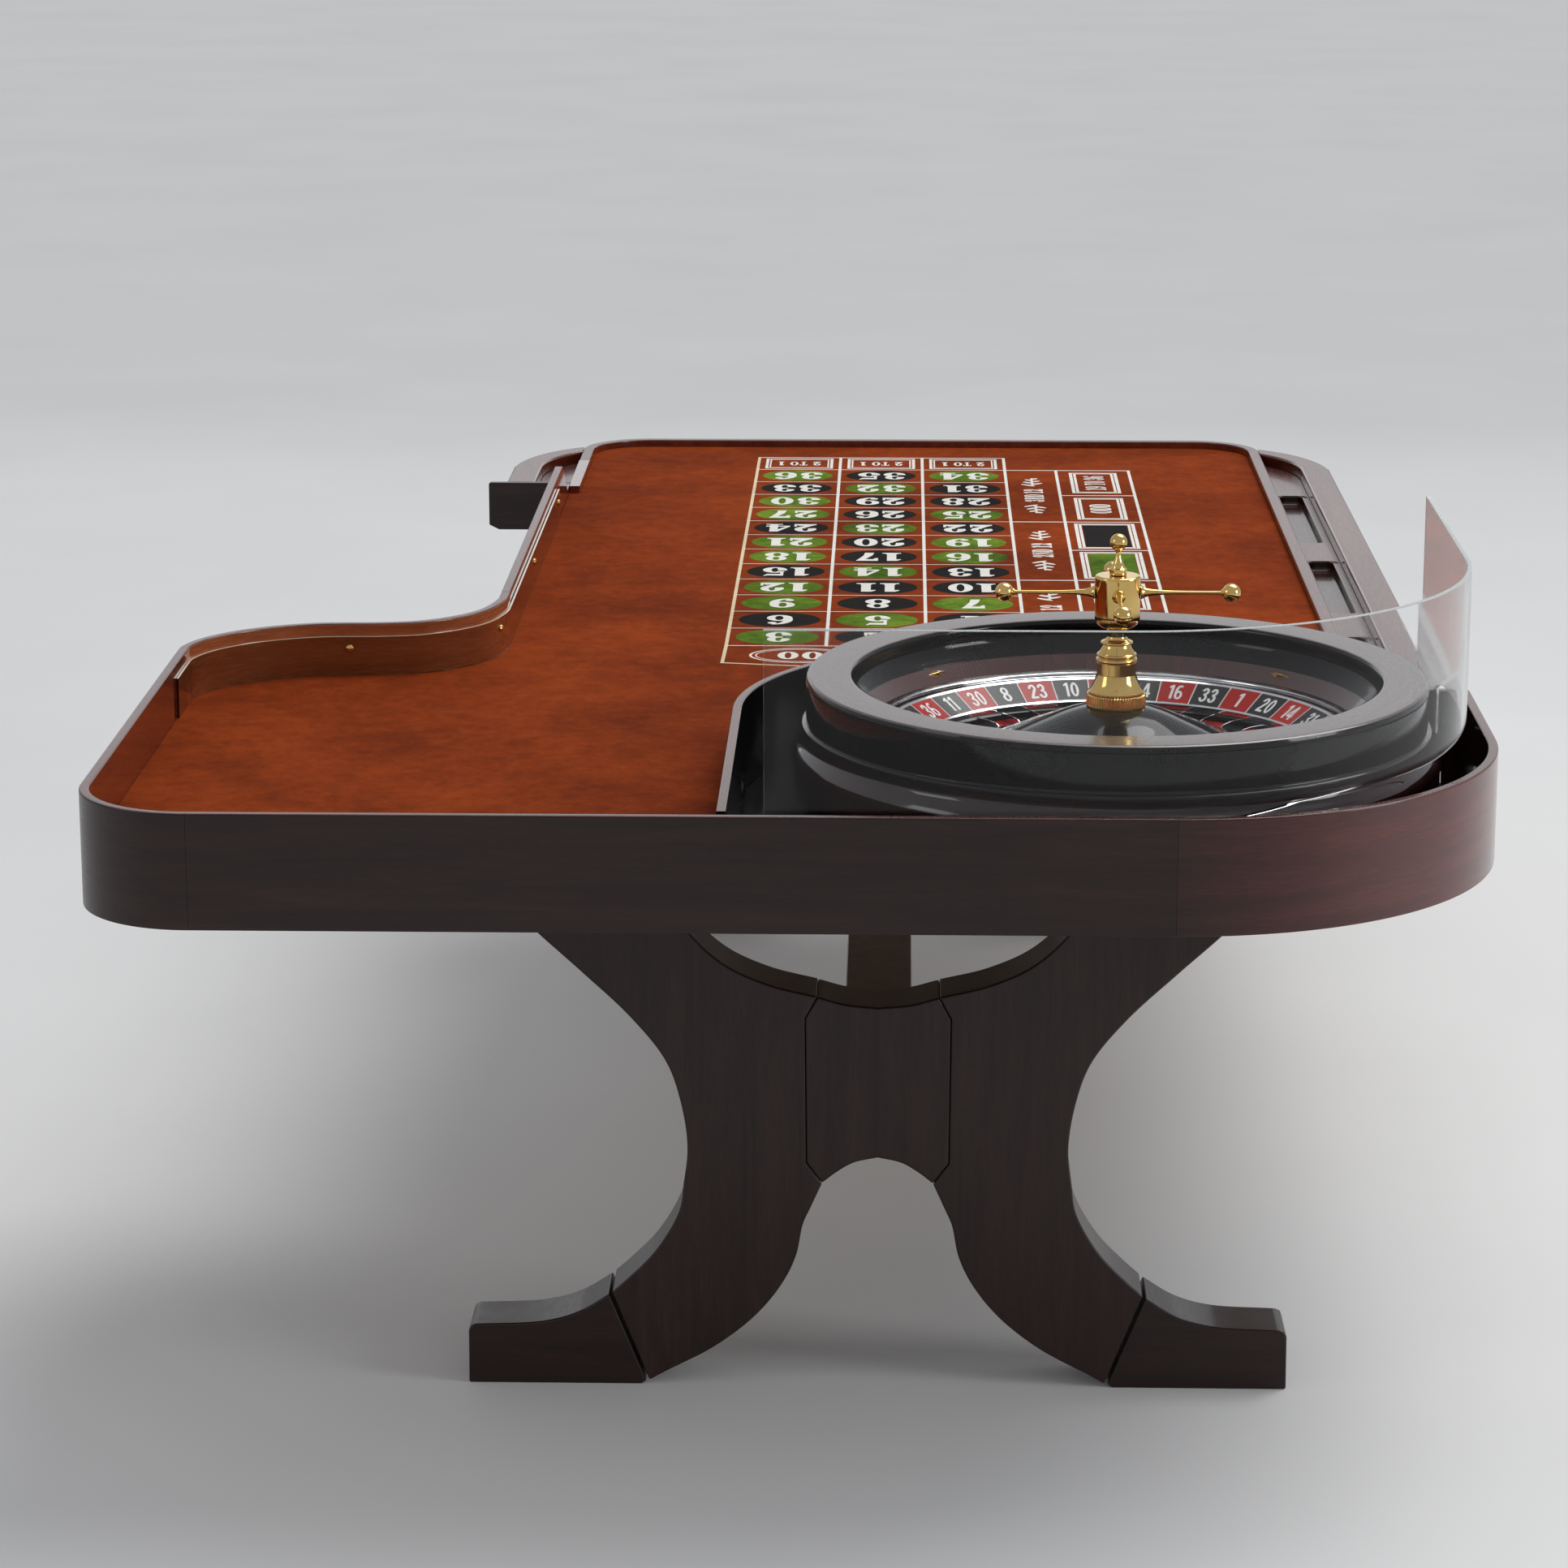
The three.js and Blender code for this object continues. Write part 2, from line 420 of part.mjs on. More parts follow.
function pedestal(tag, y0) {
  const y1 = y0 + PED_T;
  const mirrored = [...blockOutline, ...blockOutline.slice(1, -1).reverse().map(([d, h]) => [-d, h])];
  add(`${tag}_center_block`, prismXZ(mirrored.map(([d, h]) => [PED_X + d, Z0 + h]), y0, y1), WOOD);
  add(`${tag}_leg_left`, prismXZ(half(legOutline, -1), y0, y1), WOOD);
  add(`${tag}_leg_right`, prismXZ(half(legOutline, 1), y0, y1), WOOD);
  add(`${tag}_foot_left`, prismXZ(half(footOutline, -1), y0, y1), WOOD);
  add(`${tag}_foot_right`, prismXZ(half(footOutline, 1), y0, y1), WOOD);
}
pedestal('front', FRONT_PED_Y);
pedestal('rear', REAR_PED_Y);
add('stretcher_beam', prism([
  [PED_X - 42, FRONT_PED_Y + PED_T + GAP], [PED_X + 42, FRONT_PED_Y + PED_T + GAP],
  [PED_X + 42, REAR_PED_Y - GAP], [PED_X - 42, REAR_PED_Y - GAP]], Z0 + 350, Z0 + 500), WOOD);
// packing rails that bring the layout board down to the pedestals
add('front_bearer', prism([[-2.1 * U, FRONT_PED_Y - 5], [0.28 * U, FRONT_PED_Y - 5], [0.28 * U, FRONT_PED_Y + PED_T + 5], [-2.1 * U, FRONT_PED_Y + PED_T + 5]],
  WELL_FLOOR_BOTTOM, BOARD_BOTTOM - GAP), PLY);
add('rear_bearer', prism([[-2.1 * U, REAR_PED_Y - 5], [5.9 * U, REAR_PED_Y - 5], [5.9 * U, REAR_PED_Y + PED_T + 5], [-2.1 * U, REAR_PED_Y + PED_T + 5]],
  WELL_FLOOR_BOTTOM, BOARD_BOTTOM - GAP), PLY);

// --------------------------------------------------------------------- wheel
const wheel = new THREE.Group();
wheel.position.set(WHEEL_X, WHEEL_Y, 0);
deck.add(wheel);
const N1 = 48;
// bowl: base, wide moulding and the seat of the track
add('wheel_bowl', turned([
  [0, -47.7], [399, -47.7], [404, -12], [405, 28], [406, 38], [403, 54], [393, 70], [388, 83.7],
  [302, 58], [300, 8], [24, 8], [24, -20], [0, -20]], N1), WOOD, wheel);
// upright ring with the ball track and the sloped inner face
add('ball_track_ring', turned([
  [388, 84.4], [387, 132], [382, BOWL_TOP], [RING_INNER_R + 4, BOWL_TOP], [RING_INNER_R, 135], [RING_INNER_R, 128.5],
  [335.5, 120], [330, 105],
  [TRACK_SLOPE_R0 + 0.3, TRACK_SLOPE_Z0 + 0.3], [TRACK_SLOPE_R0 + 0.3, 59.1]], N1), WOOD_RED, wheel);
add('track_edge_ring', turned([
  [TRACK_SLOPE_R0, 72], [303, 76], [297.5, 73.5], [296.5, 70], [296.5, 60], [TRACK_SLOPE_R0, 60]], N1), SILVER, wheel);
// four diamond deflectors on the slope
const slopeA = Math.atan2(105 - TRACK_SLOPE_Z0, 330 - TRACK_SLOPE_R0);
for (let i = 0; i < 4; i++) {
  const d = new THREE.CylinderGeometry(2.6, 6.2, 5, 4, 1);
  d.rotateX(Math.PI / 2);
  d.rotateZ(Math.PI / 4 * 0);
  d.scale(1, 3, 1);
  d.translate(0, 0, 2.5 + 0.9);
  d.rotateY(-slopeA);
  const r = DEFLECTOR_R;
  d.translate(r, 0, TRACK_SLOPE_Z0 + (r - TRACK_SLOPE_R0) * Math.tan(slopeA));
  d.rotateZ(THREE.MathUtils.degToRad(45 + 90 * i));
  add(`ball_deflector_${i + 1}`, d, BRASS, wheel);
}
// fixed spindle and its bearing
add('wheel_spindle', turned([[0, -19.7], [23.7, -19.7], [23.7, -8], [10, -8], [10, 88], [7, 92], [0, 92]], 20), STEEL, wheel);
add('spindle_bearing', turned([[10.35, -7.6], [21.5, -7.6], [21.5, 12.7], [10.35, 12.7]], 24), STEEL, wheel);

// spinning rotor
const rotor = new THREE.Group();
wheel.add(rotor);
add('rotor_disc', turned([
  [10.6, 13], [22.5, 13], [22.5, 10.5], [60, 12], [262, 16], [ROTOR_R, 44], [ROTOR_R, 69.4], [NUMBER_R_OUT + 0.3, 69.4], [NUMBER_R_OUT + 0.3, 60.6],
  [NUMBER_R_IN - 4, 36.5], [NUMBER_R_IN - 4, POCKET_FLOOR], [CONE_R + 0.3, POCKET_FLOOR], [CONE_R + 0.3, 24], [10.6, 24]], 74), BLACK, rotor);
add('number_ring', turned([
  [NUMBER_R_OUT, 61], [NUMBER_R_OUT, NUMBER_Z_OUT], [NUMBER_R_IN, NUMBER_Z_IN], [NUMBER_R_IN, 39.2]], 74), RING, rotor);
// pocket floor with its upright frets
{
  const floorRing = turned([[CONE_R + 0.3, POCKET_FLOOR + 0.3], [NUMBER_R_IN - 4.4, POCKET_FLOOR + 0.3], [NUMBER_R_IN - 4.4, POCKET_FLOOR + 1.8], [CONE_R + 0.3, POCKET_FLOOR + 1.8]], 74);
  const frets = [];
  for (let i = 0; i < POCKETS; i++) {
    const f = new THREE.BoxGeometry(NUMBER_R_IN - 5 - (CONE_R + 1.5), 1.2, 11);
    f.translate((NUMBER_R_IN - 5 + CONE_R + 1.5) / 2, 0, POCKET_FLOOR + 1 + 5.5);
    f.rotateZ((2 * Math.PI * i) / POCKETS + 2.1626);
    frets.push(f);
  }
  add('pocket_fret_ring', join(floorRing, ...frets), SILVER, rotor);
}
add('rotor_cone', turned([
  [11, 24.4], [CONE_R, 24.4], [CONE_R, 36], [150, 54.5], [90, 79], [45, 96], [37, 97], [11, 97]], N1), BLACK, rotor);
const NT = 18;
add('turret_base', turned([[11, 97.4], [36, 97.4], [37.5, 99], [37.5, 113], [36, 114.7], [11, 114.7]], 28), BRASS, rotor);
add('turret_column', turned([
  [11, 115], [35, 115], [34, 118], [27, 133], [25, 137], [25, 157], [26, 159], [24.5, 163], [20.5, 176], [20, 180], [14, 184], [12.2, 186], [12.2, 195.2],
  [0, 195.2], [0, 188], [11, 180]], NT), BRASS, rotor);
add('turret_barrel', turned([[0, 195.6], [16, 195.6], [25, 199], [28.4, 206], [28.4, 260], [26.5, 264], [0, 264]], NT), BRASS, rotor);
for (let i = 0; i < 4; i++) {
  const prof = [[0, 28.9], [7.2, 28.9], [5.2, 36], [3.4, 50], [2.5, 66], [2.2, 90], [2.2, 130.5], [7.5, 132.4], [11, 137.5], [11.6, 141], [11, 144.8], [8, 149.5], [0, 152.6]];
  const a = new THREE.LatheGeometry(prof.map(([r, z]) => new THREE.Vector2(r, z)), 8);
  a.rotateX(Math.PI / 2);
  a.rotateY(Math.PI / 2);
  a.rotateZ(Math.PI / 2 * i);
  a.translate(0, 0, ARM_Z);
  add(`turret_arm_${i + 1}`, a, BRASS, rotor);
}
add('turret_finial', turned([
  [0, 264.4], [10.8, 264.4], [10.8, 272], [8, 275.5], [5.2, 282], [3, 289], [3, 295.4], [7.6, 297.8], [10.2, 302], [10.8, 305.4], [10.2, 309], [7.6, 313], [4, 315.4], [0, 316.2]], 12), BRASS, rotor);

// ------------------------------------------------------------ final placing
deck.updateMatrixWorld(true);
const box = new THREE.Box3().setFromObject(deck, true);
deck.position.set(-(box.min.x + box.max.x) / 2, -(box.min.y + box.max.y) / 2, DECK_HEIGHT);
root.add(deck);
root.updateMatrixWorld(true);

export default root;
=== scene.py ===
import bpy, bmesh, json, math, random
from mathutils import Vector, Matrix
from mathutils.geometry import delaunay_2d_cdt

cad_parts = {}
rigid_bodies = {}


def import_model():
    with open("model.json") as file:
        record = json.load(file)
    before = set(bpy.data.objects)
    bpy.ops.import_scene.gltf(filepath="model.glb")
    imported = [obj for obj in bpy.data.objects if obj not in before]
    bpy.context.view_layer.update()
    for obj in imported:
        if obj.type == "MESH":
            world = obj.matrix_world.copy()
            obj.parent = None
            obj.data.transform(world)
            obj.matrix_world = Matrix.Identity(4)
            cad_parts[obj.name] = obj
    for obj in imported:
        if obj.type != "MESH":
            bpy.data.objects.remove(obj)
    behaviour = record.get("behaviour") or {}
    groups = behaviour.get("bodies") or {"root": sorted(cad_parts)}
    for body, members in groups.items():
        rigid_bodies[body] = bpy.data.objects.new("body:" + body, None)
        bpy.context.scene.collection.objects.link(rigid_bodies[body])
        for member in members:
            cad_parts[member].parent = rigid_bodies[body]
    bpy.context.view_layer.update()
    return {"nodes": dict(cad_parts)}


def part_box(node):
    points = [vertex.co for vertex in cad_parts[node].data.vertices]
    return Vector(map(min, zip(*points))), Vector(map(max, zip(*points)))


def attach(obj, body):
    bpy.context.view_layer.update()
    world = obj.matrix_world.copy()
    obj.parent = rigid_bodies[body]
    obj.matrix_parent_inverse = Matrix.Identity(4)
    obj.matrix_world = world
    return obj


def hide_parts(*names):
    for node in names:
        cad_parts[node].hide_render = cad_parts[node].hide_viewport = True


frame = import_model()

random.seed(7)

# ------------------------------------------------------------------ frame
# All lengths below are millimetres in the deck frame: Z = 0 is the cloth,
# X = 0 the layout's left line, Y = 0 the near end of the number rows.
U = 120.0
lo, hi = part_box("wheel_spindle")
WX, WY = 4.32 * U, -6.59 * U
DX = (lo[0] + hi[0]) / 2 - WX / 1000
DY = (lo[1] + hi[1]) / 2 - WY / 1000
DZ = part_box("felt_layout")[1][2]
def P(x, y, z):
    return (x / 1000 + DX, y / 1000 + DY, z / 1000 + DZ)

GAP = 0.3
DECK_HEIGHT = 770
RIM_TOP, LOW_TOP, APRON_BOTTOM, APRON_T, WALL_T, RAIL_T = 72, 12, -68.4, 12.6, 12, 18.2
WELL_FLOOR_BOTTOM = -66
NEAR_Y, FAR_Y, LEFT_X, BULGE_X = -10.53 * U, 14.058 * U, -6.05 * U, 8.217 * U
RECESS_X, RAIL_IN_X, RAIL_OUT_X, MIRROR_X = -2.69 * U, 7.1593 * U, 7.311 * U, 2.35844 * U
TRAY_TOP, TRAY_BOTTOM, TRAY_OUT_X = -7.9, -33, 8.1687 * U
ARMREST_IN_X, ARMREST_OUT_X = 7.8078 * U, 8.215 * U
ARM_SEAM_Y, CORNER_START_Y, FAR_JOINT_X, WALL_TIP_Y = 11.6418 * U, 12.154 * U, 6.129 * U, 10.265 * U

# ------------------------------------------------------------- plan curves
def arc(cx, cy, r, a0, a1, n):
    return [(cx + r * math.cos(math.radians(a0 + (a1 - a0) * i / n)),
             cy + r * math.sin(math.radians(a0 + (a1 - a0) * i / n))) for i in range(n + 1)]

def offset(path, d):
    out, n = [], len(path)
    for i, p in enumerate(path):
        a, b = path[max(0, i - 1)], path[min(n - 1, i + 1)]
        d1 = (p[0] - a[0], p[1] - a[1]) if i > 0 else (b[0] - p[0], b[1] - p[1])
        d2 = (b[0] - p[0], b[1] - p[1]) if i < n - 1 else d1
        l1, l2 = math.hypot(*d1), math.hypot(*d2)
        n1, n2 = (-d1[1] / l1, d1[0] / l1), (-d2[1] / l2, d2[0] / l2)
        m = (n1[0] + n2[0], n1[1] + n2[1])
        lm = math.hypot(*m); m = (m[0] / lm, m[1] / lm)
        k = d / (m[0] * n1[0] + m[1] * n1[1])
        out.append((p[0] + m[0] * k, p[1] + m[1] * k))
    return out

def spaced(pts, n):
    s = [0]
    for a, b in zip(pts, pts[1:]):
        s.append(s[-1] + math.dist(a, b))
    out, j = [], 0
    for i in range(n + 1):
        t = s[-1] * i / n
        while j < len(pts) - 2 and s[j + 1] < t:
            j += 1
        u = (t - s[j]) / max(1e-9, s[j + 1] - s[j])
        out.append(tuple(a + (b - a) * min(1, u) for a, b in zip(pts[j], pts[j + 1])))
    return out

def smooth(pts, n):
    """centripetal Catmull-Rom through the points, evenly spaced"""
    dense = []
    L = len(pts)
    for i in range(L - 1):
        p1, p2 = pts[i], pts[i + 1]
        p0 = pts[i - 1] if i > 0 else tuple(2 * a - b for a, b in zip(p1, p2))
        p3 = pts[i + 2] if i < L - 2 else tuple(2 * b - a for a, b in zip(p1, p2))
        d0, d1, d2 = math.dist(p0, p1) ** 0.5, math.dist(p1, p2) ** 0.5, math.dist(p2, p3) ** 0.5
        d1 = d1 or 1.0; d0 = d0 or d1; d2 = d2 or d1
        c = []
        for x0, x1, x2, x3 in zip(p0, p1, p2, p3):
            t1 = ((x1 - x0) / d0 - (x2 - x0) / (d0 + d1) + (x2 - x1) / d1) * d1
            t2 = ((x2 - x1) / d1 - (x3 - x1) / (d1 + d2) + (x3 - x2) / d2) * d1
            c.append((x1, t1, -3 * x1 + 3 * x2 - 2 * t1 - t2, 2 * x1 - 2 * x2 + t1 + t2))
        for k in range(24):
            t = k / 24
            dense.append(tuple(a + b * t + q * t * t + w * t ** 3 for a, b, q, w in c))
    dense.append(tuple(pts[-1]))
    return spaced(dense, n)

def fillet(pts, r, n=4, closed=True):
    """rounds the corners of a 2-D outline; r is one radius or one per point"""
    out, L = [], len(pts)
    for i, p in enumerate(pts):
        ri = r[i] if isinstance(r, (list, tuple)) else r
        if ri <= 0 or (not closed and i in (0, L - 1)):
            out.append(tuple(p)); continue
        a, b = pts[(i - 1) % L], pts[(i + 1) % L]
        u = Vector((a[0] - p[0], a[1] - p[1])); v = Vector((b[0] - p[0], b[1] - p[1]))
        lu, lv = u.length, v.length
        if lu < 1e-6 or lv < 1e-6:
            continue
        u /= lu; v /= lv
        c = max(-1, min(1, u.dot(v)))
        half = math.acos(c) / 2
        if half > math.radians(86):
            out.append(tuple(p)); continue
        t = min(ri / math.tan(half), 0.48 * lu, 0.48 * lv)
        A, B, C = Vector(p) + u * t, Vector(p) + v * t, Vector(p)
        for k in range(n + 1):
            s = k / n
            q = A * (1 - s) ** 2 + C * 2 * s * (1 - s) + B * s * s
            out.append((q.x, q.y))
    return out

mirror = lambda pts: [(2 * MIRROR_X - x, y) for x, y in pts][::-1]
scaled = lambda pts: [(x * U, y * U) for x, y in pts]

CORNER_R = 1.2 * U
cornerNL = arc(LEFT_X + CORNER_R, NEAR_Y + CORNER_R, CORNER_R, 270, 180, 40)
leftRun = [(LEFT_X + CORNER_R + 2, NEAR_Y)] + cornerNL + [(LEFT_X, -3.3 * U)]
sRun = [(LEFT_X, -3.3 * U)] + smooth(scaled([(-6.05, -3.2), (-6.035, -2.9), (-5.86, -2.45), (-5.5, -2.03), (-5.1, -1.77), (-4.7, -1.62),
  (-4.35, -1.575), (-3.93, -1.555), (-3.5, -1.455), (-3.12, -1.18), (-2.87, -0.84), (-2.705, -0.25), (-2.69, 0.1)]), 120) + [(RECESS_X, 0.2 * U)]
bulgeR = 3.45 * U
bulgeRun = [(BULGE_X - bulgeR - 2, NEAR_Y)] + arc(BULGE_X - bulgeR, NEAR_Y + bulgeR, bulgeR, 270, 360, 90) + [(BULGE_X, -4.75 * U)]
farR = 0.95 * U
farRight = [(RAIL_OUT_X, CORNER_START_Y)] + arc(RAIL_OUT_X - farR, FAR_Y - farR, farR, 0, 90, 40) + [(FAR_JOINT_X, FAR_Y)]
farLeft = mirror(farRight)
wellWall = [(0.393 * U, NEAR_Y + APRON_T + 0.3 + 0.12 * U)] + arc(3.79 * U, -5.83 * U, 3.397 * U, 180, 90, 60) + arc(4.3 * U, -6.2 * U, 3.767 * U, 90, 21.0, 50)
wellClear = offset(wellWall, WALL_T + GAP)

# --------------------------------------------------------------- materials
def new_mat(name):
    m = bpy.data.materials.new(name)
    m.use_nodes = True
    nt = m.node_tree
    nt.nodes.clear()
    out = nt.nodes.new("ShaderNodeOutputMaterial")
    b = nt.nodes.new("ShaderNodeBsdfPrincipled")
    nt.links.new(b.outputs[0], out.inputs[0])
    return m, nt, b

def node(nt, kind, **kw):
    n = nt.nodes.new(kind)
    for k, v in kw.items():
        if hasattr(n, k) and not k.startswith("in_"):
            setattr(n, k, v)
    return n

def coords(nt, scale=(1, 1, 1), rot=(0, 0, 0)):
    tc = nt.nodes.new("ShaderNodeTexCoord")
    mp = nt.nodes.new("ShaderNodeMapping")
    mp.inputs["Scale"].default_value = scale
    mp.inputs["Rotation"].default_value = rot
    nt.links.new(tc.outputs["Object"], mp.inputs["Vector"])
    return mp.outputs["Vector"]

def noise(nt, vec, scale, detail=4, rough=0.5, distort=0.0):
    n = nt.nodes.new("ShaderNodeTexNoise")
    n.inputs["Scale"].default_value = scale
    n.inputs["Detail"].default_value = detail
    n.inputs["Roughness"].default_value = rough
    n.inputs["Distortion"].default_value = distort
    nt.links.new(vec, n.inputs["Vector"])
    return n.outputs["Fac"]

def ramp(nt, fac, stops):
    r = nt.nodes.new("ShaderNodeValToRGB")
    el = r.color_ramp.elements
    while len(el) > 1:
        el.remove(el[-1])
    el[0].position, el[0].color = stops[0][0], (*stops[0][1], 1)
    for pos, col in stops[1:]:
        e = el.new(pos); e.color = (*col, 1)
    nt.links.new(fac, r.inputs["Fac"])
    return r.outputs["Color"]

def mixc(nt, fac, a, b, mode="MIX"):
    m = nt.nodes.new("ShaderNodeMix")
    m.data_type = "RGBA"; m.blend_type = mode
    for key, val in (("Factor", fac), ("A", a), ("B", b)):
        socks = [s for s in m.inputs if s.name == key and s.enabled]
        s = socks[0] if key == "Factor" else [x for x in m.inputs if x.name == key and x.type == "RGBA"][0]
        if key == "Factor":
            s = [x for x in m.inputs if x.name == "Factor" and x.type == "VALUE"][0]
        if hasattr(val, "is_output"):
            nt.links.new(val, s)
        elif key == "Factor":
            s.default_value = val
        else:
            s.default_value = (*val, 1)
    return [o for o in m.outputs if o.type == "RGBA"][0]

def maprange(nt, fac, a, b, c, d):
    m = nt.nodes.new("ShaderNodeMapRange")
    nt.links.new(fac, m.inputs["Value"])
    for k, v in zip(("From Min", "From Max", "To Min", "To Max"), (a, b, c, d)):
        m.inputs[k].default_value = v
    return m.outputs["Result"]

def math_n(nt, op, a, b=None):
    m = nt.nodes.new("ShaderNodeMath"); m.operation = op
    for i, v in enumerate((a, b)):
        if v is None: continue
        if hasattr(v, "is_output"): nt.links.new(v, m.inputs[i])
        else: m.inputs[i].default_value = v
    return m.outputs[0]

def bump(nt, bsdf, height, strength, dist=0.001):
    b = nt.nodes.new("ShaderNodeBump")
    b.inputs["Strength"].default_value = strength
    b.inputs["Distance"].default_value = dist
    nt.links.new(height, b.inputs["Height"])
    nt.links.new(b.outputs[0], bsdf.inputs["Normal"])

def wood(name, dark, mid, light, axis="Y", rough=0.3, coat=1.0, coat_rough=0.06, grain=1.0, spec=0.5, painted_light_fade=None):
    """stained and lacquered timber; the grain runs along one axis; an optional fade along X turns the colour lighter
    and redder, painted light on a lit end
    """
    m, nt, b = new_mat(name)
    s = {"X": (1.2, 16, 16), "Y": (16, 1.2, 16), "Z": (16, 16, 1.2), "XY": (1.2, 1.2, 16)}[axis]
    v = coords(nt, s)
    g1 = noise(nt, v, 3.0 * grain, 8, 0.62, 0.6)
    g2 = noise(nt, coords(nt, tuple(k * 6 for k in s)), 5.0 * grain, 4, 0.7)
    big = noise(nt, coords(nt), 2.3, 3, 0.5)
    f = math_n(nt, "ADD", math_n(nt, "MULTIPLY", g1, 0.62), math_n(nt, "MULTIPLY", g2, 0.38))
    col = ramp(nt, f, [(0.28, dark), (0.5, mid), (0.72, light)])
    col = mixc(nt, maprange(nt, big, 0.3, 0.7, 0.0, 0.35), col, dark)
    # painted light: along X the colour turns lighter and redder, as on the lamp-lit end
    if painted_light_fade:
        sep = nt.nodes.new("ShaderNodeSeparateXYZ")
        nt.links.new(coords(nt), sep.inputs[0])
        other = ramp(nt, f, [(0.28, painted_light_fade[2]), (0.5, painted_light_fade[3]), (0.72, painted_light_fade[4])])
        col = mixc(nt, maprange(nt, sep.outputs[0], painted_light_fade[0], painted_light_fade[1], 1.0, 0.0), col, other)
        nt.links.new(maprange(nt, sep.outputs[0], painted_light_fade[0], painted_light_fade[1], coat, 0.9), b.inputs["Coat Weight"])
    nt.links.new(col, b.inputs["Base Color"])
    nt.links.new(maprange(nt, g2, 0.2, 0.8, rough - 0.06, rough + 0.1), b.inputs["Roughness"])
    b.inputs["Coat Weight"].default_value = coat
    b.inputs["Coat Roughness"].default_value = coat_rough
    b.inputs["Coat IOR"].default_value = 1.5
    b.inputs["Specular IOR Level"].default_value = spec
    bump(nt, b, g2, 0.12, 0.0004)
    return m

def lacquer(name, col, col2, rough=0.1, coat=1.0, spec=0.5):
    """dark polished lacquer with faint clouding and hairline wear"""
    m, nt, b = new_mat(name)
    n1 = noise(nt, coords(nt), 9, 5, 0.6)
    n2 = noise(nt, coords(nt, (1, 1, 4)), 220, 3, 0.6)
    nt.links.new(mixc(nt, maprange(nt, n1, 0.35, 0.7, 0, 1), col, col2), b.inputs["Base Color"])
    nt.links.new(maprange(nt, math_n(nt, "MULTIPLY", n1, n2), 0.1, 0.45, rough, rough + 0.12), b.inputs["Roughness"])
    b.inputs["Coat Weight"].default_value = coat
    b.inputs["Coat Roughness"].default_value = 0.03
    b.inputs["Specular IOR Level"].default_value = spec
    bump(nt, b, n1, 0.03, 0.002)
    return m

def metal(name, col, col2, rough=0.12, brushed=None, scale=60):
    m, nt, b = new_mat(name)
    b.inputs["Metallic"].default_value = 1.0
    v = coords(nt, brushed or (1, 1, 1))
    n1 = noise(nt, v, scale, 4, 0.6)
    n2 = noise(nt, coords(nt), 25, 4, 0.55)
    nt.links.new(mixc(nt, maprange(nt, n2, 0.3, 0.7, 0, 1), col, col2), b.inputs["Base Color"])
    nt.links.new(maprange(nt, n1, 0.25, 0.75, rough * 0.7, rough * 1.5), b.inputs["Roughness"])
    bump(nt, b, n1, 0.04, 0.0003)
    return m

def cloth_mat(name, stops, weave=1.0, rough=0.92, tint=None):
    """printed cloth: fine rows of weave, soft mottling, faint diagonal twill"""
    m, nt, b = new_mat(name)
    v = coords(nt)
    w1 = nt.nodes.new("ShaderNodeTexWave"); w1.wave_type = "BANDS"; w1.bands_direction = "Y"
    w1.inputs["Scale"].default_value = 95; w1.inputs["Distortion"].default_value = 1.2
    w1.inputs["Detail"].default_value = 2; w1.inputs["Detail Scale"].default_value = 3
    nt.links.new(v, w1.inputs["Vector"])
    w2 = nt.nodes.new("ShaderNodeTexWave"); w2.wave_type = "BANDS"; w2.bands_direction = "DIAGONAL"
    w2.inputs["Scale"].default_value = 120; w2.inputs["Distortion"].default_value = 0.8
    nt.links.new(coords(nt, (1, 1, 0)), w2.inputs["Vector"])
    weavef = math_n(nt, "ADD", math_n(nt, "MULTIPLY", w1.outputs["Fac"], 0.6), math_n(nt, "MULTIPLY", w2.outputs["Fac"], 0.4))
    big = noise(nt, coords(nt), 3.6, 9, 0.66, 0.15)
    streak = noise(nt, coords(nt), 46.0, 6, 0.72)
    mott = math_n(nt, "ADD", math_n(nt, "MULTIPLY", big, 0.62), math_n(nt, "MULTIPLY", streak, 0.38))
    col = ramp(nt, mott, stops)
    col = mixc(nt, maprange(nt, weavef, 0.2, 0.9, 0.30 * weave, 0.0), col, (0.012, 0.004, 0.002))
    nt.links.new(col, b.inputs["Base Color"])
    b.inputs["Roughness"].default_value = rough
    b.inputs["Specular IOR Level"].default_value = 0.04
    bump(nt, b, weavef, 0.35, 0.0006)
    return m

M = {}
M["apron"] = wood("walnut_apron", (0.009, 0.0027, 0.0020), (0.0185, 0.0062, 0.0045), (0.038, 0.0145, 0.0105), "XY", 0.36, 0.32, 0.14, 1.0, 0.22)
M["apron_y"] = wood("walnut_apron_y", (0.009, 0.0027, 0.0020), (0.0185, 0.0062, 0.0045), (0.038, 0.0145, 0.0105), "XY", 0.36, 0.32, 0.14, 1.0, 0.22)
M["leg"] = wood("walnut_leg", (0.012, 0.0045, 0.0036), (0.025, 0.0105, 0.0085), (0.048, 0.022, 0.018), "Z", 0.38, 0.25, 0.18, 1.0, 0.22)
# walnut like the other aprons, painted lighter and redder towards the right end: painted light from the right-hand lamp
M["apron_r"] = wood("apron_timber_painted_lit_end", (0.040, 0.0046, 0.0030), (0.098, 0.0125, 0.0080), (0.185, 0.031, 0.020), "XY", 0.36, 0.32, 0.14, 1.0, 0.22,
    painted_light_fade=(0.42, 0.82, (0.009, 0.0027, 0.0020), (0.0185, 0.0062, 0.0045), (0.038, 0.0145, 0.0105)))
M["red"] = wood("mahogany_red", (0.045, 0.006, 0.003), (0.10, 0.016, 0.007), (0.17, 0.032, 0.014), "Y", 0.22, 0.9, 0.05, 1.0, 0.3)
